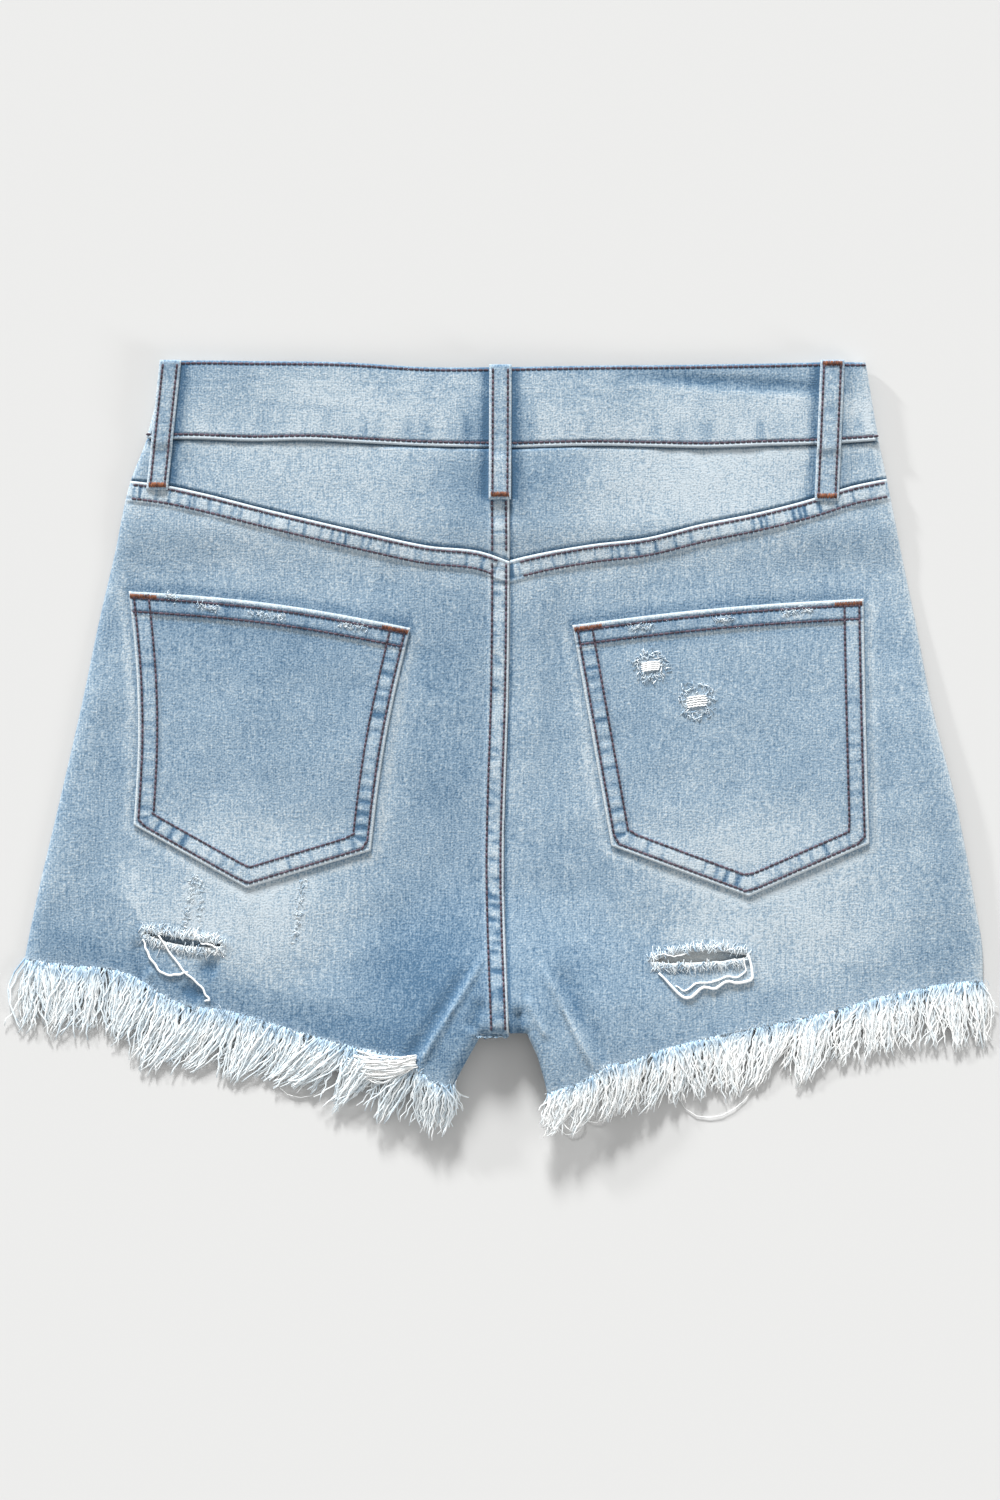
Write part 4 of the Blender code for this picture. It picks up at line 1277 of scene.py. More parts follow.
def make_waistband():
    """One strip right round, from its outer end at the centre front to its inner end, which climbs over."""
    low = BAND_LIFT + BAND_WALL / 2
    high = BAND_LIFT + 1.5 * BAND_WALL + BAND_GAP
    fold, half = (high - low) / 2, BAND_WALL / 2
    step = BAND_WALL + GAP
    left_end, right_end = BAND_ENDS
    # Stretches: 0 along the left front, 1 round the left side, 2 along the back, 3 and 4 on the right.
    stations = [(x, 0) for x in np.linspace(SEAM_X + BAND_OVERLAP, left_end, 50)]
    stations += [(angle, 1) for angle in range(15, 180, 15)]
    stations += [(x, 2) for x in np.linspace(left_end, right_end, 370)]
    stations += [(angle, 3) for angle in range(165, 0, -15)]
    stations += [(x, 4) for x in np.linspace(right_end, SEAM_X - BAND_OVERLAP, 60)]
    vs = steps((4, 0.55), (34, 1.25), (BAND_DEPTH, 0.55)) / BAND_DEPTH
    line_y = BAND_FOOT_Y + BAND_DEPTH * vs
    columns, tones = [], []
    for value, stretch in stations:
        if stretch in (1, 3):
            hand = -1 if stretch == 1 else 1
            turn = math.radians(value)
            reach = fold + half
            x = side_x(line_y, hand) - hand * reach * (1 - math.sin(turn))
            z = (low + high) / 2 - reach * math.cos(turn) + 0 * x
            share = (1 - math.cos(turn)) / 2
        else:
            hand = -1 if value < SEAM_X else 1
            limit = left_end if hand < 0 else right_end
            end = side_x(line_y, hand) - hand * (fold + half)
            x = SEAM_X + (value - SEAM_X) * (end - SEAM_X) / (limit - SEAM_X)
            share = 1.0 if stretch == 2 else 0.0
            z = low - half + 0 * x
            if stretch == 4:
                z = z + step * smooth((CLIMB[1] - (x - SEAM_X)) / (CLIMB[1] - CLIMB[0]))
        foot = share * across(BAND_FOOT, x) + (1 - share) * front_line(BAND_FOOT, x)
        if stretch in (1, 3):
            foot = foot + 0.8 * math.sin(turn)
        head = share * across(BAND_TOP, x) + (1 - share) * front_line(BAND_TOP, x)
        y = foot + (head - foot) * vs
        if stretch == 2:
            z = band_skin(x, y)
        columns.append(np.stack([x, y, z], -1))
        plain = BASE_TONE["band"] + 0.05 * waves(x, y, 14.0, 35)
        tones.append(band_tone(x, y) if stretch == 2 else plain)
    points = np.array(columns)
    faces = grid_faces(len(stations), len(vs))
    mesh = build_mesh("waistband", points, [faces[:, ::-1]])
    across_warp = material_for("washed denim twill, warp across")
    shade = np.array(tones)
    obj = add_piece(
        "waistband", mesh, across_warp, "denim_pale", ("waistband",), tone=shade, worn=0 * shade
    )
    apply_wall(obj, BAND_WALL)
    obj.data.shade_smooth()
    return obj


TEARS = (
    # middle of a worn-through tear in the right pocket: x, y, half width, half height
    (74.0, 42.8, 8.2, 7.6),
    (97.5, 25.0, 9.0, 9.2),
)


def pocket_worn(row):
    """Where a pocket's blue is rubbed off: its very edge, its hem's fold and round the tears."""
    distances = pocket_distances(row)

    def worn(x, y):
        d, _, dt, _ = distances(x, y)
        total = 0.55 * near(d, 0.3, 0.6) + 0.45 * near(dt, 0.4, 0.7)
        for cx, cy, rx, ry in TEARS:
            reach = np.hypot((x - cx) / (0.75 * rx), (y - cy) / (0.45 * ry))
            total = total + 0.4 * (1 - smooth((reach - 0.6) / 0.6))
        return np.clip(total, 0.0, 1.0)

    return worn


def make_pocket(row):
    edges = pocket_edges(row)
    share = edges[4]
    us = steps((12, 0.72), (130, 1.25), (142, 0.72)) / 142.0
    us = np.unique(np.append(us, share))
    vs = steps((11, 0.72), (118, 1.4), (133, 0.7)) / 133.0
    return cloth(
        row[0], us, vs, lambda u, v: patch(edges, u, v), pocket_skin(row), pocket_tone(row),
        material_for("washed denim twill"), "denim_pocket", POCKET_WALL, worn=pocket_worn(row),
    )


def loop_frame(row):
    """The loop's plan and its upper face, which crowns a little between its stitched sides."""
    name, x_top, x_foot, y_top, y_foot, width = row

    def middle(y):
        return x_foot + (x_top - x_foot) * (y - y_foot) / (y_top - y_foot)

    def plan(u, v):
        y = y_foot + (y_top - y_foot) * v
        return np.stack([middle(y) + width * (u - 0.5), y + 0 * u], -1)

    def skin(x, y):
        mid = middle(y)
        under = np.maximum(loop_under(mid - width / 2, y), loop_under(mid + width / 2, y))
        under = np.maximum(under, loop_under(mid, y))
        d = np.abs(x - mid)
        lap = 0.9 * (1 - on_band(x, y)) if name.endswith("centre") else 0.0
        z = under + lap + GAP + LOOP_WALL - 0.7 * smooth((d - width / 2 + 1.0) / 1.0)
        z = z - 0.3 * near(d, width / 2 - LOOP_ROW, 0.5) + 0.1 * waves(x, y, 8.0, 71)
        ends = smooth((y - y_foot) / 1.4 + 0.2) * smooth((y_top - y) / 1.4 + 0.2)
        return z - 0.7 * (1 - ends)

    return middle, plan, skin


def make_loop(row):
    name, _, _, y_top, y_foot, width = row
    middle, plan, skin = loop_frame(row)

    def tone(x, y):
        d = np.abs(x - middle(y))
        puckers = 0.3 * bars(y, 72, (4.0, 10.0)) * (d < 3.0)
        t = BASE_TONE["loop"] + 0.25 * near(d, width / 2 - 0.2, 0.7) - puckers
        return t + 0.2 * near(y, y_foot, 0.8) - 0.16 * smooth((y - y_top + 14.0) / 10.0)

    us = steps((2, 0.5), (width - 2, 0.9), (width, 0.5)) / width
    vs = steps((3, 0.6), (65, 1.0), (68, 0.6)) / 68.0
    return cloth(
        name, us, vs, plan, skin, tone, material_for("washed denim twill"), "denim_pale", LOOP_WALL
    )


def make_front_loop(row):
    name, x_mid, width = row
    top = float(front_line(BAND_TOP, np.array(x_mid))) - 1.0

    def plan(u, v):
        return np.stack([x_mid + width * (u - 0.5), top - FRONT_LOOP_LENGTH * (1 - v)], -1)

    def skin(x, y):
        d = np.abs(x - x_mid)
        return 0.03 + 0.35 * near(d, width / 2 - LOOP_ROW, 0.5) + 0.5 * near(d, width / 2, 0.8)

    def tone(x, y):
        return BASE_TONE["loop"] + 0.2 * near(np.abs(x - x_mid), width / 2, 0.8)

    us, vs = steps((width, 0.8)) / width, steps((FRONT_LOOP_LENGTH, 1.2)) / FRONT_LOOP_LENGTH
    return cloth(
        name, us, vs, plan, skin, tone, material_for("washed denim twill"), "denim_pale", LOOP_WALL, facing=-1
    )


# ---- Stitches ----------------------------------------------------------------------------------------------


def stitch_paths(points, skin, length, pitch, sink=0.12):
    """A stitch in the middle of each step along the run, lying on the cloth and dipping at its ends."""
    middle, direction, _ = evenly(points, pitch)
    share = np.array([-0.5, -0.36, 0.0, 0.36, 0.5])
    drop = np.array([0.28, 0.02, 0.0, 0.02, 0.28])
    spots = middle[:, None] + direction[:, None] * (share * length)[None, :, None]
    z = skin(spots[..., 0], spots[..., 1]) + sink - drop
    return np.concatenate([spots, z[..., None]], -1)


def stitch_radii(count, radius):
    return np.tile(np.array([0.45, 0.95, 1.0, 0.95, 0.45]) * radius, (count, 1))


def trimmed(run, amount):
    """The run without its first and last stretch of that length."""
    total = np.linalg.norm(np.diff(run, axis=0), axis=1).sum()
    return run_at(run, np.linspace(amount / total, 1 - amount / total, 60))


def outward_rows():
    """Every visible row of topstitching: its run and the cloth that it lies on."""
    found = []
    for hand in (-1, 1):
        run = yoke_run(hand)
        for d in ROWS:
            found.append((offset_run(run, -d)[1:-1], back_skin(hand)))
    for d in ROWS:
        run = offset_run(centre_run(-142.0, 95.0), d)
        found.append((run, back_skin(-1)))
        found.append((offset_run(centre_run(101.0, 127.0), d), yoke_skin(-1)))
    found.append((offset_run(band_foot_run(), BAND_ROWS[0]), band_skin))
    found.append((offset_run(band_top_run(), -BAND_ROWS[1]), band_skin))
    for row in POCKETS:
        hand, skin = pocket_hand(row), pocket_skin(row)
        for d in POCKET_ROWS:
            found.append((trimmed(offset_run(pocket_side_run(row), hand * d), 2.4), skin))
        for d in POCKET_HEM_ROWS:
            found.append((trimmed(offset_run(pocket_top_run(row), -hand * d), 2.4), skin))
    for row in LOOPS:
        middle, _, skin = loop_frame(row)
        y = np.linspace(row[4] + 2.0, row[3] - 2.0, 20)
        for side in (-1, 1):
            found.append((np.stack([middle(y) + side * (row[5] / 2 - LOOP_ROW), y], 1), skin))
    return found


def bartack_paths(cx, cy, dx, dy, skin, count=13, width=2.6, raise_by=0.3):
    """Close threads across a short bar from one end to the other, which hold a corner or a loop's end."""
    length = math.hypot(dx, dy)
    ux, uy = dx / length, dy / length
    at = (np.arange(count) + 0.5) / count - 0.5
    share = np.array([-0.5, -0.3, 0.0, 0.3, 0.5])
    rng = np.random.default_rng(int(abs(cx * 7 + cy)))
    slant = rng.uniform(-0.5, 0.5, count)
    x = cx + ux * at[:, None] * length - uy * share * width + ux * slant[:, None] * share
    y = cy + uy * at[:, None] * length + ux * share * width + uy * slant[:, None] * share
    z = skin(x, y) + raise_by - np.array([0.35, 0.05, 0.0, 0.05, 0.35])
    return np.stack([x, y, z], -1)


def bartacks():
    found = []
    for row in LOOPS:
        middle, _, skin = loop_frame(row)
        ends = (row[4] + 2.6, row[3] - 1.8) if row[0].endswith("right") else (row[4] + 2.6,)
        for y in ends:
            found.append(bartack_paths(float(middle(y)), y, row[5] - 2.2, 0.0, skin))
    for row in POCKETS:
        skin = pocket_skin(row)
        run = offset_run(pocket_top_run(row), -pocket_hand(row) * 2.4)
        for near_end, far_end in ((0.005, 0.1), (0.9, 0.995)):
            a, b = run_at(run, near_end), run_at(run, far_end)
            x, y = (a + b) / 2
            found.append(bartack_paths(x, y, b[0] - a[0], b[1] - a[1], skin, 17))
    return found


# ---- Frayed and worn threads -------------------------------------------------------------------------------

# How far the back's frayed edge reaches below its hem, and how its tufts lean: degrees from straight
# down, positive towards the side of the leg.
FRINGE = (
    # hand, out from the centre, reach, lean
    (-1, 22.0, 25.0, 2.0),
    (-1, 40.0, 31.0, 4.0),
    (-1, 52.0, 37.0, 8.0),
    (-1, 66.0, 35.0, 26.0),
    (-1, 95.0, 34.0, 32.0),
    (-1, 130.0, 33.0, 30.0),
    (-1, 165.0, 36.0, 22.0),
    (-1, 195.0, 37.0, 10.0),
    (-1, 225.0, 36.0, 2.0),
    (-1, 248.0, 34.0, 0.0),
    (1, 22.0, 26.0, -12.0),
    (1, 40.0, 29.0, -14.0),
    (1, 60.0, 31.0, -8.0),
    (1, 85.0, 32.0, -14.0),
    (1, 115.0, 34.0, -16.0),
    (1, 150.0, 33.0, -10.0),
    (1, 185.0, 32.0, -4.0),
    (1, 215.0, 31.0, 2.0),
    (1, 248.0, 33.0, 3.0),
)


# How far each leg's yarns fall below its hem, mm, and how much whiter they are than at their roots.
FRINGE_DROP = {-1: 4.6, 1: 1.7}
# The left leg's yarns are kept less white than the right's: painted shade on them.
FRINGE_WHITE = {-1: 0.52, 1: 0.74}


def fringe_value(hand, out, key):
    rows = sorted((row[1], row[key]) for row in FRINGE if row[0] == hand)
    return np.interp(out, [r[0] for r in rows], [r[1] for r in rows])


def yarn_starts(hand, back, rng, tuft_step, per_tuft):
    """Each yarn's root and tip out from the centre seam, its length, lean and place in the pile: tufts
    that lean and close to a point, over a thinner, even layer."""
    y_inner = float(across(HEM, SEAM_X + hand * 19.0))
    start = abs(float(inner_leg_x(y_inner, hand)) - SEAM_X) + (0.0 if back else FRONT_INSET)
    end = abs(float(side_x(-110.0, hand)) - SEAM_X) - (0.5 if back else FRONT_INSET)
    tufts = np.linspace(start + 2.5, end - 2.5, int((end - start) / tuft_step))
    tufts = tufts + rng.uniform(-0.32, 0.32, len(tufts)) * tuft_step
    root_out, tip_out, length, lean, layer_z = [], [], [], [], []
    for out in tufts:
        count = max(6, int(per_tuft * rng.uniform(0.7, 1.25)))
        spread = tuft_step * rng.uniform(0.52, 0.68)
        offsets = rng.uniform(-spread, spread, count)
        pull = rng.uniform(0.3, 0.85)
        tuft_reach = float(fringe_value(hand, out, 2)) * (1.0 if back else 0.78) * rng.uniform(0.86, 1.08)
        tuft_lean = float(fringe_value(hand, out, 3)) + rng.normal(0.0, 9.0)
        root_out.append(np.clip(out + offsets, start + 0.3, end - 0.3))
        tip_out.append(offsets * (1.0 - pull) + out + rng.normal(0.0, 0.8, count))
        length.append(tuft_reach * rng.uniform(0.72, 1.04, count))
        lean.append(np.full(count, tuft_lean) + rng.normal(0.0, 3.0, count))
        layer_z.append(rng.uniform(0.0, 1.0, count))
    count = int(0.25 * per_tuft * len(tufts))
    even = rng.uniform(start + 0.3, end - 0.3, count)
    root_out.append(even)
    tip_out.append(even + rng.normal(0.0, 1.0, count))
    length.append(fringe_value(hand, even, 2) * (0.95 if back else 0.75) * rng.uniform(0.66, 0.98, count))
    lean.append(fringe_value(hand, even, 3) + rng.normal(0.0, 6.0, count))
    layer_z.append(rng.uniform(0.0, 0.3, count))
    return [np.concatenate(values) for values in (root_out, tip_out, length, lean, layer_z)]


def fringe_threads(hand, back, rng, tuft_step, per_tuft, radius, rings=11):
    """Yarns ravelled out of a cut edge, each still crimped from the weave, falling from the hem towards
    what the shorts lie on."""
    root_out, tip_out, length, lean, layer_z = yarn_starts(hand, back, rng, tuft_step, per_tuft)
    count = len(root_out)
    stray = rng.random(count) < 0.14
    lean = np.where(stray, lean + rng.uniform(-30.0, 30.0, count), lean)
    length = np.where(stray, length * rng.uniform(0.5, 1.05, count), length)
    t = np.linspace(0.0, 1.0, rings)[None, :]
    root_x = SEAM_X + hand * root_out[:, None]
    hem_y = across(HEM, root_x) + (0.0 if back else FRONT_SHORTER)
    root_y = hem_y + rng.uniform(-0.6, 0.9, count)[:, None]
    tip_x = SEAM_X + hand * tip_out[:, None]
    angle = np.radians(lean)[:, None]
    down = length[:, None] * t
    bend = rng.normal(0.0, 0.10, count)[:, None]
    swing = np.sin(angle) * (0.55 * t + 0.45 * t * t) + bend * np.sin(math.pi * t)
    x = root_x + (tip_x - root_x) * smooth(t * 1.1) + hand * length[:, None] * swing
    y = root_y - down * np.cos(angle * (0.55 + 0.45 * t))
    crimp = rng.uniform(0.25, 0.8, count)[:, None]
    wave = 2 * math.pi * (t * length[:, None] / rng.uniform(5.0, 9.5, count)[:, None])
    phase = rng.uniform(0, 2 * math.pi, count)[:, None]
    x = x + crimp * np.sin(wave + phase) * smooth(t * 3.0)
    y = y + 0.35 * crimp * np.cos(1.3 * wave + phase) * smooth(t * 3.0)
    high = body_top(root_x, root_y) - 0.35 if back else lift(root_x, root_y) + 0.55
    drop = np.minimum(FRINGE_DROP[hand], 0.55 * high) * smooth(t)
    pile = (1.0 if back else 0.5) * layer_z[:, None] * np.sin(math.pi * np.clip(t * 0.9 + 0.05, 0, 1))
    z = high - drop + pile + 0.3 * np.sin(0.7 * wave + phase) ** 2
    thick = radius * rng.uniform(0.75, 1.25, count)[:, None]
    radii = thick * (1.0 - 0.35 * t ** 3)
    shade = 0.10 + FRINGE_WHITE[hand] * smooth(t * 2.4) + rng.normal(0.0, 0.12, count)[:, None] + 0 * t
    return np.stack([x, y, z], -1), radii, shade


def fuzz_threads(points, skin, rng, count, length, spread, across_share=0.8, radius=0.16, shade=0.5, rings=6):
    """Short bent fibres that stand along a run, mostly across it."""
    points = np.asarray(points, float)
    at = rng.random(count)
    root = run_at(points, at) + rng.normal(0.0, spread, (count, 2))
    ahead = run_at(points, np.clip(at + 0.01, 0, 1)) - run_at(points, np.clip(at - 0.01, 0, 1))
    angle = np.arctan2(ahead[:, 1], ahead[:, 0]) + math.pi / 2
    angle = angle + rng.normal(0.0, 1.0 - across_share, count) * 1.6
    angle = np.where(rng.random(count) < 0.5, angle + math.pi, angle)
    t = np.linspace(0.0, 1.0, rings)[None, :]
    size = length * rng.uniform(0.4, 1.2, count)[:, None]
    curl = rng.normal(0.0, 0.7, count)[:, None]
    heading = angle[:, None] + curl * t
    step = size / (rings - 1)
    x = root[:, :1] + np.cumsum(np.cos(heading) * step, axis=1) - size / 2 * np.cos(angle)[:, None]
    y = root[:, 1:] + np.cumsum(np.sin(heading) * step, axis=1) - size / 2 * np.sin(angle)[:, None]
    z = skin(x, y) + 0.1 + rng.uniform(0.0, 0.7, count)[:, None] * np.sin(math.pi * t)
    radii = radius * rng.uniform(0.7, 1.3, count)[:, None] * (1.0 - 0.4 * t)
    shades = np.clip(rng.normal(shade, 0.25, count), 0.0, 1.0)[:, None] + 0 * t
    return np.stack([x, y, z], -1), radii, shades


def smooth_run(points, count):
    """A smooth curve through a few given points: a Catmull-Rom spline at even parameters."""
    points = np.asarray(points, float)
    padded = np.vstack([2 * points[0] - points[1], points, 2 * points[-1] - points[-2]])
    at = np.linspace(0, len(points) - 1, count)
    i = np.clip(at.astype(int), 0, len(points) - 2)
    t = (at - i)[:, None]
    a, b, c, d = (padded[i + k] for k in range(4))
    bend, twist = 2 * a - 5 * b + 4 * c - d, 3 * b - a - 3 * c + d
    return 0.5 * (2 * b + (c - a) * t + bend * t ** 2 + twist * t ** 3)


# Rubbed places where short white fibres stand up: the two ends of each and how many fibres.
RUBBED_LINES = (
    # name, x, y, x, y, fibres
    ("left leg, outer", -158.0, -63.0, -163.5, -92.0, 70),
    ("left leg, outer, second", -155.0, -66.0, -155.0, -86.0, 26),
    ("left leg, inner", -103.0, -66.0, -107.0, -97.0, 74),
    ("left pocket hem, knot", -172.0, 80.5, -167.0, 76.0, 50),
    ("left pocket hem, outer", -157.0, 73.5, -146.0, 72.0, 46),
    ("left pocket hem, middle", -130.0, 69.5, -112.0, 67.0, 50),
    ("left pocket hem, inner", -84.0, 64.0, -70.0, 62.5, 50),
    ("right pocket hem, inner", 64.0, 62.0, 76.0, 63.5, 46),
    ("right pocket hem, middle", 106.0, 66.0, 116.0, 67.0, 46),
    ("right pocket hem, outer", 141.0, 70.0, 157.0, 71.5, 56),
)


# Single loose yarns that lie on the legs, each by a few points along it, and its radius.
LOOSE_YARNS = (
    # name, points, radius
    ("loop below the left slit", ((-184.0, -96.5), (-181.5, -104.0), (-175.0, -113.0), (-168.5, -114.5),
                                  (-161.5, -113.0)), 0.62),
    ("second yarn there", ((-176.0, -94.5), (-170.0, -104.0), (-162.0, -114.0), (-155.5, -119.5),
                           (-152.0, -125.0), (-150.5, -127.0), (-153.0, -128.0)), 0.56),
    ("arc at the slit's end", ((-155.0, -98.5), (-150.0, -99.0), (-146.5, -101.5), (-148.0, -104.5)), 0.5),
    ("loop below the right slit", ((123.5, -104.0), (125.8, -112.0), (125.3, -117.0), (118.0, -118.5),
                                   (112.7, -118.0), (106.6, -121.5), (100.5, -121.0), (94.0, -126.0),
                                   (89.8, -125.4), (84.7, -120.0), (78.0, -113.5)), 0.78),
    ("yarn beside it", ((121.0, -106.0), (122.6, -112.0), (118.5, -115.5), (112.0, -115.5), (105.5, -118.3),
                        (98.0, -118.6), (91.5, -122.5), (87.0, -120.0)), 0.46),
    ("yarn on the slit's left lip", ((74.5, -106.0), (80.0, -103.8), (86.0, -105.0), (93.0, -103.5)), 0.30),
)
# Loops of yarn that stray out of the fringe onto the surface around it.
STRAY_YARNS = (
    # name, points, radius
    ("long loop under the right leg", ((84.0, -168.0), (92.0, -183.0), (104.0, -187.5), (117.0, -183.0),
                                       (127.0, -172.0), (130.0, -160.0)), 0.28),
    ("curl at the right inner leg", ((24.0, -176.0), (24.5, -188.0), (31.0, -196.0), (38.0, -194.0),
                                     (39.0, -186.0)), 0.36),
    ("curl beside it", ((33.0, -176.0), (38.0, -186.0), (46.0, -190.0), (53.0, -186.0)), 0.34),
    ("arc under the left leg", ((-120.0, -166.0), (-110.0, -176.0), (-98.0, -176.0), (-90.0, -170.0)), 0.32),
)


def run_threads(table, skin, rings=40):
    paths, radii = [], []
    for name, points, radius in table:
        line_at = smooth_run(points, rings)
        t = np.linspace(0, 1, rings)
        wobble = 0.25 * np.sin(t * 40.0 + len(name))
        x, y = line_at[:, 0] + wobble, line_at[:, 1] + 0.2 * np.cos(t * 33.0)
        z = skin(x, y) + radius * 0.8 + 0.25 * np.sin(t * math.pi) ** 2
        paths.append(np.stack([x, y, z], -1))
        radii.append(radius * (1.0 - 0.3 * np.abs(2 * t - 1) ** 6) * np.ones(rings))
    return np.array(paths), np.array(radii), np.full((len(paths), rings), 0.92)


def sideways_tuft(rng, count=120, rings=13):
    """The tuft on the left leg that is folded over and lies along the hem, its tips towards the side."""
    t = np.linspace(0.0, 1.0, rings)[None, :]
    start_x = -46.5 + rng.uniform(-3.0, 2.0, count)[:, None]
    start_y = -157.5 + rng.uniform(-3.5, 3.0, count)[:, None]
    end_x = -76.0 + rng.normal(0.0, 2.6, count)[:, None]
    end_y = -160.0 + rng.normal(0.0, 3.0, count)[:, None]
    bow = rng.uniform(-1.0, 8.0, count)[:, None]
    wave = 2 * math.pi * t * rng.uniform(1.5, 3.0, count)[:, None] + rng.uniform(0, 6, count)[:, None]
    x = start_x + (end_x - start_x) * t + 0.4 * np.sin(wave)
    y = start_y + (end_y - start_y) * t - bow * np.sin(math.pi * t) + 0.4 * np.cos(wave)
    high = body_top(x, across(HEM, x) + 1.0) * (1.0 - 0.3 * smooth((across(HEM, x) - y) / 20.0))
    z = high + 0.7 + rng.uniform(0, 2.0, count)[:, None] * np.sin(math.pi * np.clip(t + 0.1, 0, 1))
    radii = 0.40 * rng.uniform(0.8, 1.2, count)[:, None] * (1 - 0.3 * t ** 2)
    shade = 0.85 + rng.normal(0, 0.1, count)[:, None] + 0 * t
    return np.stack([x, y, z], -1), radii, shade


def join_threads(parts, rings):
    """Threads of several kinds brought to one number of rings."""
    paths, radii, shades = [], [], []
    at = np.linspace(0, 1, rings)
    for path, radius, shade in parts:
        own = np.linspace(0, 1, path.shape[1])
        for i in range(len(path)):
            paths.append(np.stack([np.interp(at, own, path[i, :, k]) for k in range(3)], -1))
            radii.append(np.interp(at, own, radius[i]))
            shades.append(np.interp(at, own, shade[i]))
    return np.array(paths), np.array(radii), np.array(shades)


def floor_skin(x, y):
    return 0.3 + 0 * x


def slit_lips(row):
    """A run just outside each lip of a slit."""
    _, _, start, end, opening, arch = row
    t = np.linspace(0.0, 1.0, 12)
    middle = np.outer(1 - t, start) + np.outer(t, end)
    middle[:, 1] += arch * np.sin(math.pi * t)
    away = opening / 2 * np.sin(math.pi * t) ** 0.7 + 2.6
    return [middle + np.stack([0 * t, side * away], 1) for side in (-1, 1)]


def tear_rings(tear):
    """Two closed runs round a tear, inside its edge and on it."""
    cx, cy, rx, ry = tear
    turn = np.linspace(0, 2 * math.pi, 24)
    return [np.stack([cx + s * rx * np.cos(turn), cy + s * ry * np.sin(turn)], 1) for s in (0.72, 1.0)]


def weft_bars(tear):
    """The bare weft yarns left across a tear, as rows of loose yarns."""
    cx, cy, rx, ry = tear
    found = []
    for level in np.linspace(-0.3, 0.22, 5):
        reach = 0.62 * rx * math.sqrt(1 - (level / 0.5) ** 2 * 0.6)
        low, high = cy + level * ry - 0.12 * reach, cy + level * ry + 0.12 * reach
        ends = ((cx - reach, low), (cx, (low + high) / 2 + 0.2), (cx + reach, high))
        found.append(("weft bar", ends, 0.40))
    return found


# ---- The add-on --------------------------------------------------------------------------------------------


def length_setting(name, description, default, least):
    return bpy.props.FloatProperty(
        name=name, description=description, default=default, min=least, unit="LENGTH", subtype="DISTANCE"
    )


class ShortsSettings(bpy.types.PropertyGroup):
    """Sizes and colours that a user would change."""

    stitch_pitch: length_setting("Stitch pitch", "Distance from one topstitch to the next", 0.0027, 0.001)
    stitch_length: length_setting("Stitch length", "Thread that shows in each topstitch", 0.0024, 0.0005)
    stitch_radius: length_setting("Thread radius", "Half the topstitching thread's thickness", 0.00068, 0.0001)
    tuft_step: length_setting("Tuft spacing", "Distance between the tufts of the frayed hems", 0.0105, 0.002)
    yarns_per_tuft: bpy.props.IntProperty(
        name="Yarns in a tuft", description="Ravelled yarns in each tuft of the hems", default=37, min=4
    )
    yarn_radius: length_setting("Yarn radius", "Half the width of a ravelled yarn", 0.0005, 0.00005)
    floor_colour: bpy.props.FloatVectorProperty(
        name="Floor colour", description="Colour of the surface that the shorts lie on",
        default=srgb("#cfcfce")[:3], size=3, min=0.0, max=1.0, subtype="COLOR",
    )


def settings():
    return bpy.context.scene.denim_shorts


class SHORTS_OT_backs(bpy.types.Operator):
    """Two back legs with felled seams, creases and worn slits"""

    bl_idname = "shorts.backs"
    bl_label = "Backs"

    def execute(self, context):
        for hand in (-1, 1):
            back = make_back(hand)
        return {"FINISHED"}


class SHORTS_OT_yokes(bpy.types.Operator):
    """Two yokes between the backs and the waistband"""

    bl_idname = "shorts.yokes"
    bl_label = "Yokes"

    def execute(self, context):
        for hand in (-1, 1):
            yoke = make_yoke(hand)
        return {"FINISHED"}


class SHORTS_OT_waistband(bpy.types.Operator):
    """The waistband, one strip right round"""

    bl_idname = "shorts.waistband"
    bl_label = "Waistband"

    def execute(self, context):
        band = make_waistband()
        return {"FINISHED"}


class SHORTS_OT_pockets(bpy.types.Operator):
    """Two patch pockets on the backs"""

    bl_idname = "shorts.pockets"
    bl_label = "Pockets"

    def execute(self, context):
        for row in POCKETS:
            make_pocket(row)
        return {"FINISHED"}


class SHORTS_OT_loops(bpy.types.Operator):
    """Five belt loops"""

    bl_idname = "shorts.loops"
    bl_label = "Belt loops"

    def execute(self, context):
        for row in LOOPS:
            make_loop(row)
        for row in FRONT_LOOPS:
            make_front_loop(row)
        return {"FINISHED"}


class SHORTS_OT_fronts(bpy.types.Operator):
    """Two fronts, which lie face down under the backs"""

    bl_idname = "shorts.fronts"
    bl_label = "Fronts"

    def execute(self, context):
        for hand in (-1, 1):
            make_front(hand)
        return {"FINISHED"}


class SHORTS_OT_stitching(bpy.types.Operator):
    """Topstitching and bartacks"""

    bl_idname = "shorts.stitching"
    bl_label = "Stitching"

    def execute(self, context):
        sizes = settings()
        length, pitch = sizes.stitch_length / MM, sizes.stitch_pitch / MM
        paths = np.concatenate([stitch_paths(run, skin, length, pitch) for run, skin in outward_rows()])
        radii = stitch_radii(len(paths), sizes.stitch_radius / MM)
        plum = material_for("plum polyester topstitching")
        thread_piece("topstitching", paths, radii, 0 * radii, plum, "denim", sides=5)
        paths = np.concatenate(bartacks())
        radii = stitch_radii(len(paths), 0.42)
        rust = material_for("rust polyester bartack")
        thread_piece("bartacks", paths, radii, 0 * radii, rust, "denim", sides=5)
        return {"FINISHED"}


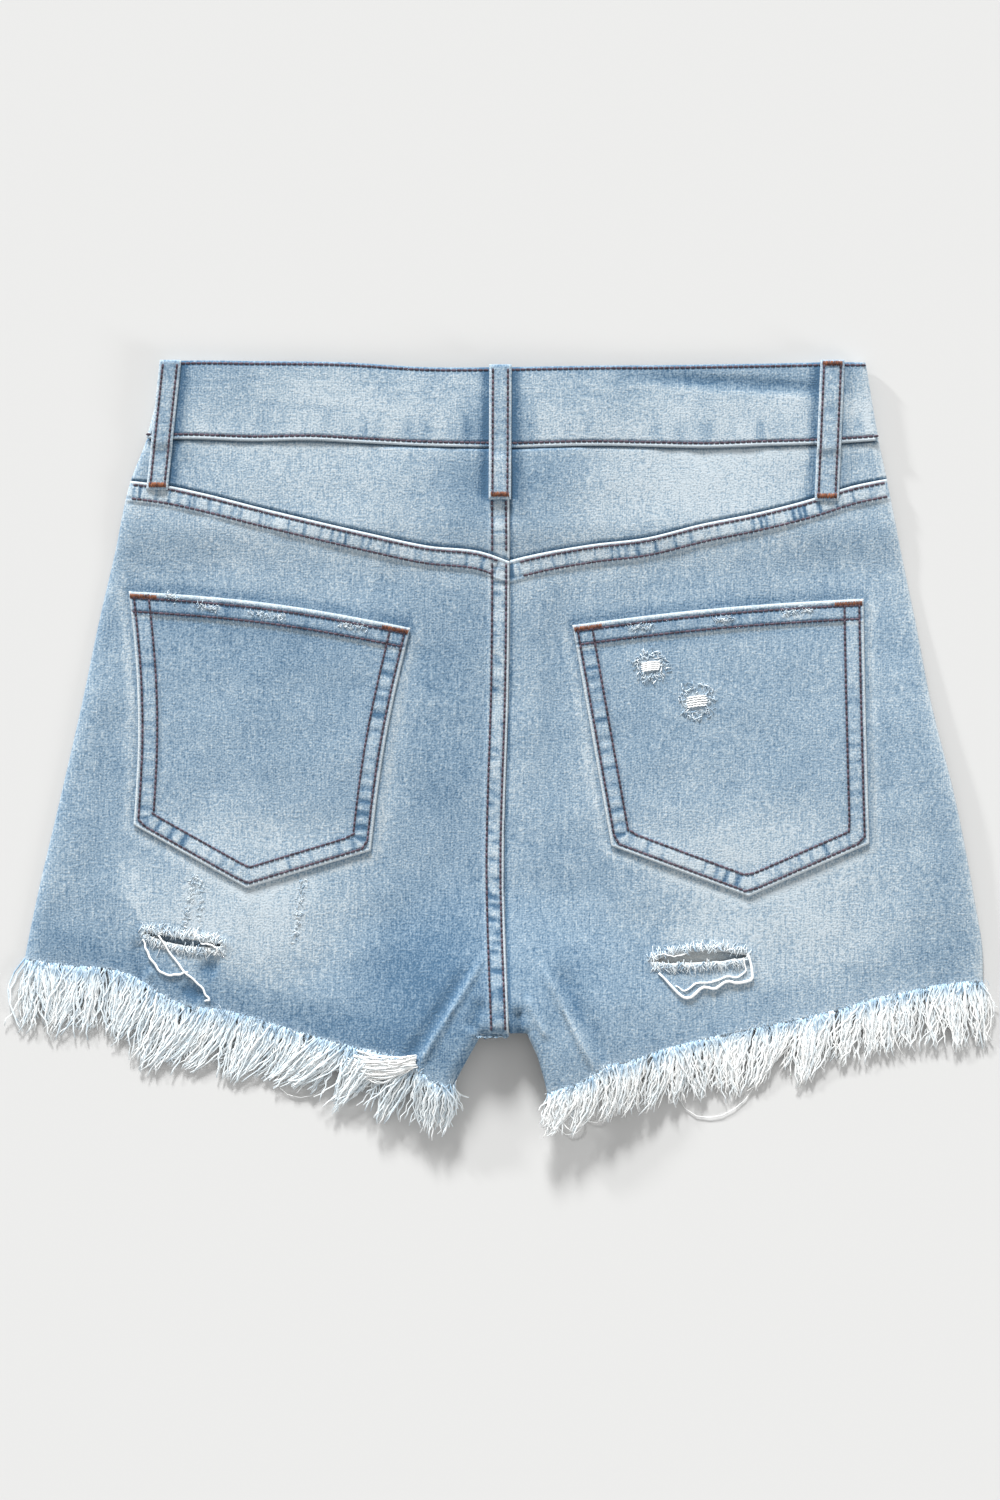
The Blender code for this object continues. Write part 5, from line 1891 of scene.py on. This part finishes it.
class SHORTS_OT_fringe(bpy.types.Operator):
    """Frayed yarns below each cut hem"""

    bl_idname = "shorts.fringe"
    bl_label = "Frayed hems"

    def execute(self, context):
        sizes = settings()
        cotton = material_for("frayed cotton")
        step, per_tuft, radius = sizes.tuft_step / MM, sizes.yarns_per_tuft, sizes.yarn_radius / MM
        for hand, side in ((-1, "left"), (1, "right")):
            rng = np.random.default_rng(100 + hand)
            parts = [fringe_threads(hand, True, rng, step, per_tuft, radius)]
            hem_x = np.linspace(SEAM_X + hand * 26.0, SEAM_X + hand * 244.0, 30)
            hem = np.stack([hem_x, across(HEM, hem_x) - 0.5], 1)
            parts.append(fuzz_threads(hem, back_skin(hand), rng, 240, 3.6, 0.7, radius=0.18, shade=0.1))
            if hand < 0:
                parts.append(sideways_tuft(rng))
            strays = [row for row in STRAY_YARNS if hand * (row[1][0][0] - SEAM_X) > 0]
            parts.append(run_threads(strays, floor_skin))
            node = "fringe_back_" + side
            thread_piece(node, *join_threads(parts, 11), cotton, "cotton", (node,), sides=4, flat=0.5)
            node = "fringe_front_" + side
            made = fringe_threads(hand, False, rng, step * 1.15, int(per_tuft * 0.6), radius, 8)
            thread_piece(node, *made, cotton, "cotton", (node,), sides=4, flat=0.5)
        return {"FINISHED"}


class SHORTS_OT_worn_threads(bpy.types.Operator):
    """Loose yarns and fuzz round the slits, the tears and the pocket hems"""

    bl_idname = "shorts.worn_threads"
    bl_label = "Worn threads"

    def execute(self, context):
        rng = np.random.default_rng(7)
        cotton = material_for("frayed cotton")
        skins = {-1: back_skin(-1), 1: back_skin(1)}
        fuzz, yarns = [], []
        for row in SLITS:
            for lip in slit_lips(row):
                fuzz.append(fuzz_threads(lip, skins[row[1]], rng, 190, 4.4, 0.8, 0.75, 0.24, 0.5))
        for hand in (-1, 1):
            loose = [row for row in LOOSE_YARNS if hand * row[1][0][0] > 0]
            yarns.append(run_threads(loose, skins[hand]))
        right_pocket = pocket_skin(POCKETS[1])
        for tear in TEARS:
            for ring in tear_rings(tear):
                fuzz.append(fuzz_threads(ring, right_pocket, rng, 62, 2.6, 0.8, 0.4, 0.24, 0.35))
            yarns.append(run_threads(weft_bars(tear), right_pocket, 20))
        for name, x0, y0, x1, y1, count in RUBBED_LINES:
            skin = skins[-1] if "leg" in name else pocket_skin(POCKETS[0 if x0 < 0 else 1])
            fuzz.append(fuzz_threads([(x0, y0), (x1, y1)], skin, rng, count, 2.0, 0.9, 0.3, 0.19, 0.4))
        thread_piece("worn_fuzz", *join_threads(fuzz, 6), cotton, "cotton")
        thread_piece("loose_yarns", *join_threads(yarns, 30), cotton, "cotton", sides=6)
        return {"FINISHED"}


class SHORTS_OT_fastenings(bpy.types.Operator):
    """The zip, its slider and the waist button"""

    bl_idname = "shorts.fastenings"
    bl_label = "Fastenings"

    def execute(self, context):
        for node in ("zip_slider", "button"):
            finish_node(node, material_for("aged brass"))
        finish_node("zip_tape", material_for("plum polyester topstitching"))
        return {"FINISHED"}


def finish_node(name, material):
    """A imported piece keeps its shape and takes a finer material."""
    obj = frame["nodes"][name]
    obj.data.materials.clear()
    obj.data.materials.append(material)


SKY_SHARE = 0.54
# The camera's place in x and y, its height, and how much of the floor the picture is tall, in metres.
CAMERA_AT = (-0.00195, 0.0011)
CAMERA_HEIGHT = 2.1
PICTURE_HEIGHT = 0.765
LIGHTS = (
    # name, towards it in x and y, elevation, size in degrees, brightness on the floor
    ("upper window", -0.12, 0.99, 19.0, 10.0, 0.57),
    ("left window", -0.72, 0.69, 12.5, 4.0, 0.15),
    ("far wall", 0.80, -0.45, 17.0, 16.0, 0.10),
)


def add_sun(scene, name, x, y, elevation, size, brightness):
    """A distant light that adds the given share of white to a level surface."""
    lamp = bpy.data.lights.new(name, "SUN")
    raised = math.radians(elevation)
    lamp.energy = brightness * math.pi / math.sin(raised)
    lamp.angle = math.radians(size)
    obj = bpy.data.objects.new(name, lamp)
    level = Vector((x, y, 0.0)).normalized() * math.cos(raised)
    obj.rotation_euler = (level + Vector((0.0, 0.0, math.sin(raised)))).to_track_quat("Z", "Y").to_euler()
    scene.collection.objects.link(obj)


class SHORTS_OT_stage(bpy.types.Operator):
    """The pale floor, a white sky, low light from two windows and a wall, and the camera straight above"""

    bl_idname = "shorts.stage"
    bl_label = "Stage"

    def execute(self, context):
        scene = context.scene
        bpy.ops.mesh.primitive_plane_add(size=6.0, location=(0.0, 0.0, 0.0))
        floor = context.object
        floor.name = "floor"
        made, _, shader = new_material("painted pale floor", Roughness=0.9, Specular_IOR_Level=0.1)
        shader.inputs["Base Color"].default_value = (*settings().floor_colour, 1.0)
        floor.data.materials.append(made)
        world = bpy.data.worlds.new("soft studio")
        world.use_nodes = True
        sky = world.node_tree.nodes["Background"]
        sky.inputs["Color"].default_value = (1.0, 1.0, 1.0, 1.0)
        sky.inputs["Strength"].default_value = SKY_SHARE
        scene.world = world
        for row in LIGHTS:
            add_sun(scene, *row)
        camera = bpy.data.cameras.new("camera")
        camera.sensor_fit = "VERTICAL"
        camera.sensor_height = 24.0
        camera.lens = camera.sensor_height * CAMERA_HEIGHT / PICTURE_HEIGHT
        above = bpy.data.objects.new("camera", camera)
        above.location = (*CAMERA_AT, CAMERA_HEIGHT)
        scene.collection.objects.link(above)
        scene.camera = above
        scene.view_settings.view_transform = "Standard"
        return {"FINISHED"}


OPERATORS = (
    SHORTS_OT_stage,
    SHORTS_OT_fronts,
    SHORTS_OT_backs,
    SHORTS_OT_yokes,
    SHORTS_OT_waistband,
    SHORTS_OT_pockets,
    SHORTS_OT_loops,
    SHORTS_OT_stitching,
    SHORTS_OT_fringe,
    SHORTS_OT_worn_threads,
    SHORTS_OT_fastenings,
)


class SHORTS_PT_panel(bpy.types.Panel):
    """Lists the pieces of the shorts"""

    bl_idname = "SHORTS_PT_panel"
    bl_label = "Denim Shorts"
    bl_space_type = "VIEW_3D"
    bl_region_type = "UI"
    bl_category = "Shorts"

    def draw(self, context):
        layout = self.layout
        sizes = context.scene.denim_shorts
        for name in ShortsSettings.__annotations__:
            layout.prop(sizes, name)
        for operator in OPERATORS:
            layout.operator(operator.bl_idname)


def register():
    for made in (ShortsSettings, *OPERATORS, SHORTS_PT_panel):
        bpy.utils.register_class(made)
    bpy.types.Scene.denim_shorts = bpy.props.PointerProperty(type=ShortsSettings)


def unregister():
    del bpy.types.Scene.denim_shorts
    for made in reversed((ShortsSettings, *OPERATORS, SHORTS_PT_panel)):
        bpy.utils.unregister_class(made)


def main():
    for obj in bpy.data.objects:
        obj.select_set(False)
    register()
    for operator in OPERATORS:
        group, name = operator.bl_idname.split(".")
        getattr(getattr(bpy.ops, group), name)()


if __name__ == "__main__":
    main()
